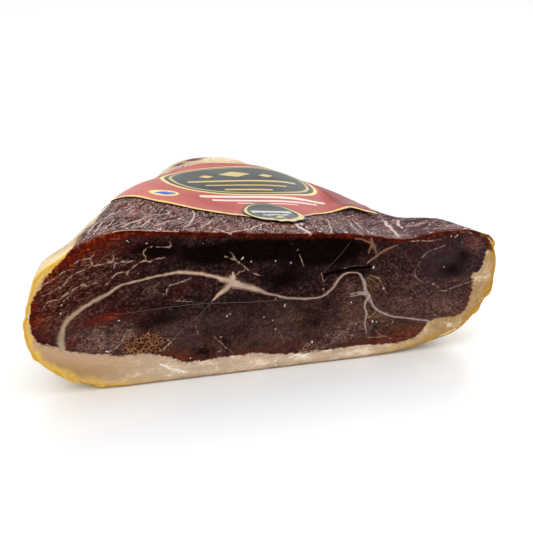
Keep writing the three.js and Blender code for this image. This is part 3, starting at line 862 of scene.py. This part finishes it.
class HamTree(Tree):
    """The ham's material, with the places and noises that its colours are made from."""

    def __init__(self):
        super().__init__("cured_ham")
        axes = self.node("SeparateXYZ", {0: self.mm}).outputs
        self.across, self.up = axes["X"], axes["Z"]
        self.left, self.right = self.span(self.across, -50, -118), self.span(self.across, 50, 112)
        self.not_left = self.less(1, self.left)
        self.ends = self.math("MAXIMUM", self.left, self.right)
        self.broad, self.middling = self.noise(self.mm, 24, 2), self.noise(self.mm, 6)
        self.small = self.noise(self.mm, (2.6, 2.0, 1.6), 3, 0.6)
        self.grain = self.noise(self.mm, (1.8, 1.2, 1.0), 4, 0.75, turn=(0, -20, 0))
        self.skin = self.vector("skin_x", "skin_y")
        self.drift, self.strands = self.drifting(4), self.drifting(1)

    def drifting(self, detail):
        """Streaks that run back from the cut at the left and along it at the right."""
        rough, bend = 0.58, 1.0
        left = self.noise(self.skin, (2.2, 14, 1), detail, rough, bend, turn=(0, 0, 20))
        right = self.noise(self.skin, (14, 2.8, 1), detail, rough, bend, turn=(0, 0, -6))
        return self.mix((self.across, 45, 80), left, right)

    def ragged(self, name, amount):
        """A mark with an uneven edge."""
        return self.uneven(name, self.small, amount)

    def drawn_line(self, name, softness=0.4):
        """How much a drawn line covers a point: all inside it, and nothing just outside."""
        side = self.absolute(self.uneven(name, self.noise(self.mm, 1.3, 2), 0.7))
        return self.times((side, 1 + softness, 1 - softness), (name + "_far", 0.5, 0.2))


def face_fat(t):
    """The fat round the lean on the cut: pale in the middle, tan at the ends, ochre at the rind."""
    fat = Layers(t, t.mix(t.left, (196, 172, 146), (164, 128, 88)))
    fat.add((174, 143, 100), t.right)
    fat.add((184, 156, 118), t.right, (t.up, 26, 46))
    lumps = t.noise(t.mm, (9, 4, 3.4), 4, 0.6)
    fat.multiply(t.mix(t.left, t.span(lumps, *MIDDLE, 0.84, 1.1), (255, 255, 255)))
    fat.add((232, 216, 194), (lumps, 0.56, 0.66), t.not_left, 0.6)
    fibres = t.noise(t.mm, (1.6, 1.6, 9), 3, 0.6, turn=(0, 12, 0))
    fat.add((134, 104, 66), t.right, (fibres, 0.45, 0.62, 0, 0.45))
    fat.add((168, 132, 88), ("rim", 3.4, 0.6), (t.middling, 0.36, 0.6), 0.6)
    fat.add((202, 174, 148), ("lean", -11, -1), t.left, 0.4)
    fat.add((146, 106, 84), ("lean", -3.2, -0.4), (t.small, 0.4, 0.62), 0.4)
    crust = t.uneven("rim", t.middling, 1.4)
    yellow = t.mix(t.right, (216, 176, 86), (170, 128, 54))
    yellow_to = t.times(crust, (t.right, 0, 1, 1, 1.05))
    fat.add(yellow, (yellow_to, 6.4, 1.2), t.ends, 0.9)
    ochre = t.mix(t.right, (210, 158, 50), (212, 162, 66))
    fat.add(ochre, (crust, 1.6, 0.2), t.ends, (t.small, 0.36, 0.56), 0.9)
    fat.shade(t.grain, 0.94, 1.05)
    # Painted white glints of the film on the fat.
    fat_glints = t.span(t.cells(t.mm, (4.4, 3, 2)), 0.2, 0.08)
    fat.add((248, 242, 232), fat_glints, (t.middling, 0.5, 0.58), t.not_left, 0.8)
    return fat.colour


def face_lean(t):
    """The cured lean of the cut: dark, with red, olive, grey and black parts."""
    lean = Layers(t, t.mix(t.left, (26, 15, 15), (44, 15, 10)))
    lean.add((42, 29, 32), t.right)
    lean.add((64, 46, 43), (t.up, 44, 30), (t.broad, 0.3, 0.6))
    lean.add((90, 58, 43), (t.up, 27, 15), (t.middling, 0.42, 0.58), 0.6)
    lean.add((54, 42, 44), "even", t.right, 0.6)
    calm = t.span("black", 0.1, 0.8)
    lean.add((10, 4, 4), calm, 0.95)
    mottles = t.mix(t.left, (52, 32, 31), (64, 27, 19))
    lean.add(mottles, (t.middling, 0.44, 0.6), t.less(1, calm), 0.5)
    fibre = t.noise(t.mm, (0.9, 2, 6), 3, 0.62, 0.6, turn=(0, -42, 0))
    fibres = t.span("fibres", 0.1, 0.8)
    lean.add((122, 88, 80), fibres, (fibre, 0.53, 0.66), 0.42)
    lean.add((40, 14, 12), fibres, (fibre, 0.5, 0.4), 0.6)
    patch = t.span(t.small, 0.34, 0.62)
    lean.add((92, 25, 16), "red", patch, 0.85)
    lean.add((150, 62, 26), "ember", patch)
    lean.add((92, 62, 20), "olive", patch, 0.75)
    lean.add((116, 80, 70), "haze", (t.grain, 0.36, 0.62), 0.6)
    quiet = t.times((calm, 0, 1, 1, 0.1), (t.broad, 0.4, 0.6, 0.6, 1))
    quiet = t.times(quiet, ("red", 0, 1, 1, 0.5), ("even", 0, 1, 1, 0.35))
    at_ends = t.span(t.plus(t.left, t.right), 0, 1, 0.3, 0.4)
    lean.add((132, 98, 90), (t.grain, 0.52, 0.64), quiet, at_ends)
    lean.add((12, 4, 4), (t.grain, 0.48, 0.38), quiet, 0.6)
    return lean


def add_patterns(t, lean):
    """Nets and scales of fat that stand out in some parts of the lean, and scattered dots of painted
    glint.
    """
    net = t.lines(t.noise(t.mm, (9, 6, 3.4), 4, 0.6, 1.2, turn=(0, -28, 0)), 0.022)
    lean.add((146, 106, 88), net, (t.small, 0.4, 0.56), ("lace", 0.15, 0.9), 0.8)
    scales = t.lines(t.noise(t.mm, (3.6, 3, 2.4), 1, 0.5, 1.6, turn=(0, -14, 0)), 0.05)
    scaly = t.span("scales", 0.05, 0.7)
    lean.add((158, 128, 110), scales, (t.middling, 0.36, 0.52), scaly, 0.75)
    cells = t.cells(t.mm, (2.3, 2.3, 1.7), "DISTANCE_TO_EDGE")
    comb = t.times((t.ragged("honeycomb", 0.5), 0.3, 0.8), ("honeycomb", 0.1, 0.3))
    lean.add(t.mix((t.grain, 0.4, 0.6), (30, 11, 7), (78, 34, 18)), comb, 0.85)
    lean.add((158, 116, 78), comb, (cells, 0.13, 0.03), (t.small, 0.36, 0.52), 0.75)
    # Scattered pale dots of painted glint.
    glint_dots = t.span(t.cells(t.mm, 8.5), 0.09, 0.05)
    lean.add((196, 156, 130), glint_dots, (t.middling, 0.46, 0.54), 0.6)


def add_glow(t, lean):
    """The edge of the lean, where light comes through from the top."""
    beads = t.times((t.noise(t.mm, 2.6, 4, 0.66, 0.8), 0.5, 0.62), (t.grain, 0.34, 0.5))
    red = Layers(t, t.mix(t.left, (62, 14, 9), (84, 20, 10)))
    red.add((164, 72, 27), beads, t.left, (t.up, 48, 68, 0.15, 0.85))
    red.add((128, 46, 16), beads, (t.up, 66, 74), t.not_left, 0.5)
    red.add((44, 8, 6), (t.small, 0.46, 0.36), t.left, 0.7)
    red.add((136, 66, 34), t.right, (t.grain, 0.46, 0.6), 0.5)
    lean.add(red.colour, (t.ragged("glow", 0.3), 0.25, 0.75, 0, 0.92))


def add_drawn_lines(t, lean):
    """Seams, thin seams, crystals and the painted shade in the crevice."""
    seam = t.uneven(t.absolute("seam"), t.small, 0.2)
    core = Layers(t, t.mix((t.across, -22, 6), (183, 156, 138), (157, 137, 125)))
    core.add((152, 138, 132), (t.across, 46, 58))
    core.add((158, 138, 114), (t.across, -45, -95))
    fat = Layers(t, t.mix((seam, 0.95, 0.3), (122, 92, 76), core.colour))
    fat.shade(t.middling, 0.82, 1.08)
    fat.shade(t.grain, 0.85, 1.1)
    fat.add((112, 72, 50), (t.up, 54, 60, 0, 0.9), (t.across, 20, 50))
    lean.add((84, 58, 48), (seam, 1.9, 1.1), ("seam_far", 1.6, 0.4), 0.5)
    lean.add(fat.colour, (seam, 1.25, 0.8), ("seam_far", 0.6, 0.3))
    thin_colour = t.mix("vein_tone", (66, 34, 24), (204, 170, 146))
    lean.add(thin_colour, t.drawn_line("vein"), (t.noise(t.mm, 2.4, 2), 0.38, 0.56, 0.08, 0.9))
    lean.add((206, 176, 146), ("speck", 0.4, 0.8, 0, 0.85))
    # Painted shade in the crevice.
    lean.add((10, 4, 4), ("crevice", 0.2, 0.8))


def add_film_light(t, face):
    """White painted highlights where the film stands off the cut, and its straight creases with a painted
    highlight above and painted shade below.
    """
    # The film's painted highlights and its white painted glints.
    film_highlight_colour = t.mix("film_tone", (112, 84, 60), (244, 242, 240))
    face.add(film_highlight_colour, t.drawn_line("film"), (t.small, 0.34, 0.5, 0.15, 0.75))
    face.add((240, 234, 232), ("glint", 0.35, 0.75, 0, 0.9))
    # A painted highlight above each crease and painted shade below it.
    near = ("crease_far", 1.2, 0.6)
    face.add((160, 148, 142), (t.absolute(t.less("crease", 0.6)), 1.1, 0.4), near, 0.3)
    face.add((14, 8, 8), (t.absolute(t.plus("crease", 0.9)), 1.0, 0.3), near, 0.5)


def dry_top(t, wisps):
    """The dry lean of the top under its film: dark meat with crisp pale streaks, partly fat and partly
    painted highlights of the film's wrinkles, dots, and a painted highlight along the cut's edge.
    """
    dry = Layers(t, t.mix((t.broad, 0.32, 0.68), (52, 16, 14), (98, 48, 42)))
    dry.add((44, 12, 12), (t.middling, 0.5, 0.58, 0, 0.9))
    dry.add((38, 12, 12), (t.drift, 0.46, 0.38, 0, 0.6))
    dry.add((88, 72, 77), (t.across, 20, 70, 0, 0.45))
    # Pale streaks, partly fat and partly painted highlights of the film's wrinkles.
    dry.add((196, 160, 150), wisps, 0.55)
    crisp = t.lines(t.strands, (t.across, 30, 80, 0.03, 0.016))
    dry.add((236, 218, 208), crisp, (t.middling, 0.4, 0.54), (t.small, 0.34, 0.5), 0.9)
    dry.add((214, 192, 182), (t.cells(t.mm, 2.4), 0.26, 0.16), (t.small, 0.48, 0.56), 0.7)
    streak_colour = t.mix("vein_tone", (112, 80, 72), (238, 222, 210))
    dry.add(streak_colour, t.drawn_line("vein", 0.5), (t.small, 0.32, 0.5, 0.35, 1))
    # A painted highlight along the cut's upper edge.
    edge_highlight = t.times(("skin_y", 1.9, 0.9), (t.middling, 0.46, 0.56))
    dry.add((214, 178, 164), edge_highlight, (t.small, 0.4, 0.5), 0.8)
    return dry.colour


def rind(t):
    """The fat of the sides and the small end: cream with golden stains, pores and fine creases."""
    patchy = t.noise(t.mm, 38, 3, 0.6, 0.6)
    fat = Layers(t, t.mix((patchy, 0.36, 0.64), (204, 176, 132), (228, 212, 186)))
    fat.add((196, 152, 84), (t.broad, 0.52, 0.7, 0, 0.45))
    fat.add((170, 126, 76), (t.middling, 0.54, 0.68, 0, 0.35))
    creases = t.lines(t.noise(t.skin, (7, 22, 1), 3, 0.6, 1.4, turn=(0, 0, 30)), 0.012)
    fat.add((150, 112, 76), creases, (t.middling, 0.4, 0.55), 0.45)
    fat.add((140, 98, 60), (t.cells(t.mm, 3.2), 0.2, 0.1), (t.middling, 0.42, 0.6), 0.35)
    near_cut = t.mix(t.right, (240, 212, 146), (196, 160, 82))
    fat.add(near_cut, ("skin_y", 22, 1), t.ends, 0.9)
    fat.shade(t.small, 0.9, 1.08)
    return fat.colour


def side_colour(t, wisps):
    """The dry lean of the top and the rind, with bruises at the small end."""
    side = Layers(t, rind(t))
    side.add(dry_top(t, wisps), (t.ragged("lean", 1.5), -0.7, 0.7))
    bruised = t.mix((t.drift, 0.46, 0.58), (150, 108, 116), (214, 190, 188))
    side.add(bruised, "haze", (t.small, 0.3, 0.5, 0.5, 1))
    side.add((84, 24, 24), "red", (t.small, 0.34, 0.5))
    return side.colour


def ham_material():
    t = HamTree()
    lean = face_lean(t)
    add_patterns(t, lean)
    add_glow(t, lean)
    add_drawn_lines(t, lean)
    face = Layers(t, face_fat(t))
    face.add(lean.colour, (t.ragged("lean", 0.5), -0.5, 0.5))
    add_film_light(t, face)
    # Pale streaks on the top, partly fat and partly painted highlights of the film's wrinkles; they also
    # raise the bump.
    wisps = t.times((t.drift, 0.54, 0.6), (t.middling, 0.58, 0.44, 0.25, 1))
    ham = Layers(t, side_colour(t, wisps))
    ham.add(face.colour, "front")
    crust_colour = t.mix((t.grain, 0.44, 0.6), (48, 20, 20), (88, 38, 28))
    ham.add(crust_colour, (t.ragged("crust", 0.2), 0.35, 0.6, 0, 0.9))
    height = t.plus(t.plus(t.times(t.small, 0.6), t.times(t.middling, 0.9)), t.times(wisps, 0.35))
    t.surface(Base_Color=ham.colour, Roughness=0.55, Normal=t.bump(height, 0.0007, 0.55),
              Specular_IOR_Level=0.0)
    return t.material


def film_material():
    t = Tree("clear_film")
    wrinkle = t.noise(t.mm, 7, 3, 0.6, 0.8)
    ridges = t.plus(wrinkle, t.times(t.lines(t.noise(t.mm, 16, 2, 0.5, 0.8), 0.03), 0.6))
    facing = t.node("LayerWeight", {"Blend": 0.5}).outputs["Facing"]
    on_fat = t.times(("lean", 1, -2), ("front", 1, 0), 0.07)
    share = t.plus((facing, 0.6, 1.0, 0, 0.1), on_fat)
    clear = t.node("BsdfTransparent").outputs[0]
    gloss = t.node("BsdfGlossy", {"Roughness": 0.12, "Normal": t.bump(ridges, 0.001, 0.6)}).outputs[0]
    mixed = t.node("MixShader", {0: share, 1: clear, 2: gloss}).outputs[0]
    t.links.new(mixed, t.out.inputs["Surface"])
    return t.material


# The ham and its film

def ring_depths(close, close_to, wide, back):
    """Depths of the rings: closest at the rim, close near the cut, wide behind, closer at the tip."""
    rim = [0, 0.12, 0.4, 0.8, RIM]
    near = list(np.arange(rim[-1] + close, close_to, close))
    far = list(np.arange(near[-1] + wide, back, wide))
    tip = DEPTH - (DEPTH - back) * np.cos(np.linspace(0.15, 1, 7) * np.pi / 2) ** 1.3
    return rim + near + far + [min(d, DEPTH - 0.15) for d in tip]


def skin_piece(name, columns, layers, depths, lift, floor, material):
    """A closed skin of the whole ham, lifted off its surface, with its lowest points at the floor."""
    grid = HamGrid(columns, layers, depths)
    points, marks = ham_points(grid, lift, floor)
    piece = make_mesh(name, points, grid.faces(), marks, material)
    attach(piece, "root")
    return piece


ham = skin_piece("cured_meat", 400, 110, ring_depths(close=1.6, close_to=60, wide=6.0, back=190),
                 lift=0, floor=0.35, material=ham_material())
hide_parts("lean_meat", "fat_layer")

film = skin_piece("clear_film", 170, 46, ring_depths(close=4.0, close_to=60, wide=7.0, back=190),
                  lift=0.45, floor=0.1, material=film_material())
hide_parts("vacuum_film")

# The label and the oval sticker, thin sheets on the film with a plain print of their own

# The label's sides by share from front to back, as rows of the edge, and its front and back by
# share from left to right, as depths.
LABEL_LEFT_ROW = [(0, 35.95), (0.3, 35.6), (0.5, 34.2), (0.75, 33.6), (1, 33.3)]
LABEL_RIGHT_ROW = [(0, 27.85), (0.1, 27.55), (0.3, 27.1), (1, 26.4)]
LABEL_FRONT = [(0, 107), (0.1, 98), (0.18, 90.5), (0.265, 84.5), (0.32, 80), (0.384, 75), (0.431, 69.5),
               (0.47, 64.5), (0.502, 60.5), (0.53, 56), (0.56, 49.5), (0.623, 46), (0.688, 53.5),
               (0.74, 61.5), (0.791, 66.5), (0.86, 72.5), (0.932, 71.5), (0.959, 69), (0.984, 60), (1, 58)]
LABEL_BACK = [(0, 167), (0.17, 171), (0.22, 174), (0.3, 172), (0.43, 166), (1, 160)]
LABEL_LIFT, FREE_CORNER_LIFT, SHEET_THICK = 0.85, 2.0, 0.25
STICKER_MIDDLE, STICKER_RADII, STICKER_LIFT = (21.5, 57.3), (18.5, 22.8), 1.5
# The sticker's points are looked for between these rows of the edge.
TOP_ROWS = 26.5, 35.5

# The label's print: an oval panel with gold bars and diamonds, pale bars and a badge. The bars,
# diamonds and ovals have a middle, across and in depth, and half sizes.
PANEL_MIDDLE, PANEL_RADII, PANEL_POWER = (23, 127), (49, 31), 2.5
GOLD_BARS = [((23, 121), (36, 1.5)), ((23, 112.5), (27, 0.9)), ((22, 104.5), (16, 1.1))]
DIAMONDS = [((23, 137), (11, 7)), ((3, 133), (5, 4)), ((43, 133), (5, 4))]
PALE_BARS = [((27, 92), (41, 1.9)), ((26, 85.5), (34, 1.4)), ((26, 81), (20, 0.7))]
BADGE = (-35.3, 96.5), (9.4, 5.8)
BADGE_CORE = (-34.5, 96.2), (6.6, 3.2)

# The sticker's print, from its middle: pale bars and a gold diamond inside a gold crescent.
STICKER_BARS = [((0, 5), (12.5, 2.2)), ((0, -3.5), (8, 1.4))]
STICKER_DIAMOND = (0, -10.5), (3.2, 2.4)


def to_oval(x, y, middle, radii):
    """About the distance to an oval, below zero inside it."""
    u, v = (x - middle[0]) / radii[0], (y - middle[1]) / radii[1]
    reach = np.hypot(u, v)
    steep = np.hypot(u / radii[0], v / radii[1]) / np.maximum(reach, 1e-6)
    return (reach - 1) / np.maximum(steep, 1e-6)


def to_bar(x, y, middle, half):
    """Distance to a flat bar, below zero inside it."""
    return np.maximum(np.abs(x - middle[0]) - half[0], np.abs(y - middle[1]) - half[1])


def to_diamond(x, y, middle, half):
    """About the distance to a diamond, below zero inside it."""
    return (np.abs(x - middle[0]) / half[0] + np.abs(y - middle[1]) / half[1] - 1) * min(half)


def to_nearest(distance, x, y, shapes):
    """Distance to the nearest of some shapes."""
    return np.minimum.reduce([distance(x, y, *shape) for shape in shapes])


def to_panel(x, y):
    """About the distance to the rounded panel's edge, below zero inside it."""
    u, v = np.abs(x - PANEL_MIDDLE[0]) / PANEL_RADII[0], np.abs(y - PANEL_MIDDLE[1]) / PANEL_RADII[1]
    return ((u**PANEL_POWER + v**PANEL_POWER) ** (1 / PANEL_POWER) - 1) * PANEL_RADII[1]


def row_at(x, depths):
    """The row whose line along the top passes a point across and in depth."""
    low, high = [np.full(x.shape, row) for row in TOP_ROWS]
    for _ in range(24):
        middle = (low + high) / 2
        right_of = on_side(middle, depths)[..., 0] > x
        low, high = np.where(right_of, middle, low), np.where(right_of, high, middle)
    return (low + high) / 2


def lay_sheet(rows, depths, lift):
    """Points of a sheet that lies on the film, with the ham's own relief under it."""
    base = on_side(rows, depths)
    out = normals_of(base)
    out = out * np.sign(out[..., 2:3].mean())
    rise = side_relief(base, rows, depths) + lift
    return base + out * rise[..., None]


def sheet_piece(name, rows, depths, lift, marks, material):
    """A closed thin sheet on the film."""
    top, bottom = lay_sheet(rows, depths, lift), lay_sheet(rows, depths, lift - SHEET_THICK)
    number = np.arange(rows.size).reshape(rows.shape)
    quads = quads_of(number)
    loop = np.concatenate([number[:-1, 0], number[-1, :-1], number[:0:-1, -1], number[0, :0:-1]])
    after = np.roll(loop, -1)
    sides = np.stack([loop, loop + rows.size, after + rows.size, after], -1)
    faces = np.concatenate([quads, quads[:, ::-1] + rows.size, sides]).tolist()
    marks = {key: np.tile(value.ravel(), 2) for key, value in marks.items()}
    points = np.concatenate([top.reshape(-1, 3), bottom.reshape(-1, 3)])
    piece = make_mesh(name, points, faces, marks, material)
    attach(piece, "root")
    return piece


def label_grid(across=170, deep=130):
    """Rows, depths and lifts of the label's points, and how far each is from the front edge."""
    a, b = np.meshgrid(np.linspace(0, 1, across), np.linspace(0, 1, deep), indexing="ij")
    left, right = value_at(LABEL_LEFT_ROW, b), value_at(LABEL_RIGHT_ROW, b)
    rows = left + (right - left) * a
    front = value_at(LABEL_FRONT, a)
    depths = front + (value_at(LABEL_BACK, a) - front) * b
    corner = smooth(0.86, 1.0, a) * smooth(0.35, 0.0, b)
    return rows, depths, LABEL_LIFT + FREE_CORNER_LIFT * corner, depths - front


def label_piece():
    rows, depths, lift, from_front = label_grid()
    x = on_side(rows, depths)[..., 0]
    bars = to_nearest(to_bar, x, depths, GOLD_BARS)
    diamonds = to_nearest(to_diamond, x, depths, DIAMONDS)
    marks = {"panel": to_panel(x, depths), "gold": np.minimum(bars, diamonds),
             "pale": to_nearest(to_bar, x, depths, PALE_BARS),
             "badge": to_oval(x, depths, *BADGE), "core": to_oval(x, depths, *BADGE_CORE),
             "from_front": from_front, "row": rows, "sheet_x": x, "sheet_y": depths}
    piece = sheet_piece("paper_label", rows, depths, lift, marks, label_material())
    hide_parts("label")


def label_material():
    t = Tree("printed_label")
    flat = t.vector("sheet_x", "sheet_y")
    broad, small = t.noise(flat, 26), t.noise(flat, 3)
    sheet = Layers(t, t.mix((broad, 0.35, 0.65), (156, 56, 46), (172, 74, 62)))
    sheet.add((206, 120, 110), ("sheet_x", 0, -70, 0, 0.45))
    sheet.add((120, 24, 28), ("row", 28.45, 28.15))
    hatch = t.lines(t.noise(flat, (4, 1.1, 1), 2, turn=(0, 0, 90)), 0.05)
    sheet.add((206, 140, 144), hatch, ("row", 28.0, 27.8), (small, 0.3, 0.5), 0.35)
    sheet.add((234, 208, 198), ("pale", 0.3, -0.3, 0, 0.9))
    sheet.add((226, 206, 128), ("badge", 0.3, -0.3))
    core = t.uneven("core", small, 1.0)
    sheet.add((34, 76, 176), (core, 0.4, -0.6))
    dark = Layers(t, t.mix((broad, 0.3, 0.7), (36, 36, 38), (60, 62, 64)))
    dark.add((206, 182, 112), ("gold", 0.3, -0.3, 0, 0.9))
    dark.add((206, 184, 116), (t.absolute(t.plus("panel", 3.2)), 0.8, 0.4), 0.8)
    sheet.add(dark.colour, ("panel", 0.3, -0.3))
    sheet.add((222, 198, 126), (t.absolute(t.less("panel", 0.1)), 1.0, 0.6))
    front = t.uneven("from_front", small, 0.4)
    sheet.add((222, 186, 110), (front, 3.6, 3.0))
    # A dark painted shadow along the label's front edge.
    sheet.add((92, 44, 30), (front, 0.9, 0.5))
    t.surface(Base_Color=sheet.colour, Roughness=0.35, Specular_IOR_Level=0.15,
              Normal=t.bump(t.noise(flat, 12), 0.0008, 0.5))
    return t.material


def sticker_piece():
    side = np.linspace(-1, 1, 72)
    u, v = np.meshgrid(side, side, indexing="ij")
    reach_x, reach_y = u * np.sqrt(1 - v**2 / 2), v * np.sqrt(1 - u**2 / 2)
    x, y = reach_x * STICKER_RADII[0], reach_y * STICKER_RADII[1]
    depths = STICKER_MIDDLE[1] + y
    rows = row_at(STICKER_MIDDLE[0] + x, depths)
    marks = {"reach": np.hypot(reach_x, reach_y), "crescent": np.hypot(reach_x, reach_y - 0.1),
             "pale": to_nearest(to_bar, x, y, STICKER_BARS), "sheet_x": x, "sheet_y": y,
             "diamond": to_diamond(x, y, *STICKER_DIAMOND)}
    piece = sheet_piece("oval_sticker_print", rows, depths, STICKER_LIFT, marks, sticker_material())
    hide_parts("oval_sticker")


def sticker_material():
    t = Tree("printed_sticker")
    flat = t.vector("sheet_x", "sheet_y")
    print_colour = Layers(t, t.mix((t.noise(flat, 9), 0.3, 0.7), (36, 36, 38), (52, 52, 54)))
    gold = (206, 188, 118)
    print_colour.add(gold, ("reach", 0.95, 0.92), ("crescent", 0.8, 0.83))
    print_colour.add((206, 206, 202), ("pale", 0.3, -0.3, 0, 0.85))
    print_colour.add(gold, ("diamond", 0.3, -0.2))
    t.surface(Base_Color=print_colour.colour, Roughness=0.3, Specular_IOR_Level=0.3)
    return t.material


label_piece()
sticker_piece()

# Floor, light and camera

# Places and sizes are in metres, angles in degrees and power in watts.
FLOOR_HALF = 6.0
PHOTO_SIDE, FOCAL_PIXELS, SENSOR_WIDTH = 533, 1460, 36.0
CAMERA_PLACE, CAMERA_AZIMUTH, CAMERA_ELEVATION = (-0.2655, -0.8492, 0.2848), -19.6, 16


def stage_floor():
    mesh = bpy.data.meshes.new("floor")
    corners = [(x * FLOOR_HALF, y * FLOOR_HALF, 0) for x, y in ((-1, -1), (1, -1), (1, 1), (-1, 1))]
    mesh.from_pydata(corners, [], [(0, 1, 2, 3)])
    floor = bpy.data.objects.new("floor", mesh)
    bpy.context.scene.collection.objects.link(floor)
    t = Tree("white_floor")
    t.surface(Base_Color=(0.9, 0.9, 0.9, 1), Roughness=0.25, Specular_IOR_Level=0.8)
    mesh.materials.append(t.material)


def soft_light(name, place_at, aim, size, power):
    light = bpy.data.lights.new(name, "AREA")
    light.shape, light.size, light.size_y = "RECTANGLE", *size
    light.energy = power
    lamp = bpy.data.objects.new(name, light)
    lamp.location = place_at
    lamp.rotation_euler = (Vector(aim) - Vector(place_at)).to_track_quat("-Z", "Y").to_euler()
    bpy.context.scene.collection.objects.link(lamp)


def surroundings(level):
    """Even white light from all around."""
    world = bpy.data.worlds.new("studio")
    world.use_nodes = True
    background = world.node_tree.nodes["Background"].inputs
    background["Color"].default_value = (1, 1, 1, 1)
    background["Strength"].default_value = level
    bpy.context.scene.world = world


def aim_camera():
    """Puts the camera at the photograph's angle, with its focal length."""
    camera = bpy.data.cameras.new("camera")
    camera.sensor_width, camera.lens = SENSOR_WIDTH, FOCAL_PIXELS / PHOTO_SIDE * SENSOR_WIDTH
    eye = bpy.data.objects.new("camera", camera)
    azimuth, elevation = math.radians(CAMERA_AZIMUTH), math.radians(CAMERA_ELEVATION)
    back = Vector((math.sin(azimuth) * math.cos(elevation), -math.cos(azimuth) * math.cos(elevation),
                   math.sin(elevation)))
    eye.location = CAMERA_PLACE
    eye.rotation_euler = (-back).to_track_quat("-Z", "Y").to_euler()
    bpy.context.scene.collection.objects.link(eye)
    bpy.context.scene.camera = eye


stage_floor()
surroundings(1.0)
soft_light("overhead", (0.1, 0.1, 1.3), aim=(0, 0, 0), size=(1.6, 1.2), power=5)
soft_light("back_right", (1.0, 1.0, 1.0), aim=(0, 0, 0.03), size=(0.4, 0.4), power=5)
soft_light("front_left", (-0.9, -1.1, 0.9), aim=(0, -0.1, 0.05), size=(0.4, 0.4), power=6)
bpy.context.scene.view_settings.view_transform = "Standard"
aim_camera()
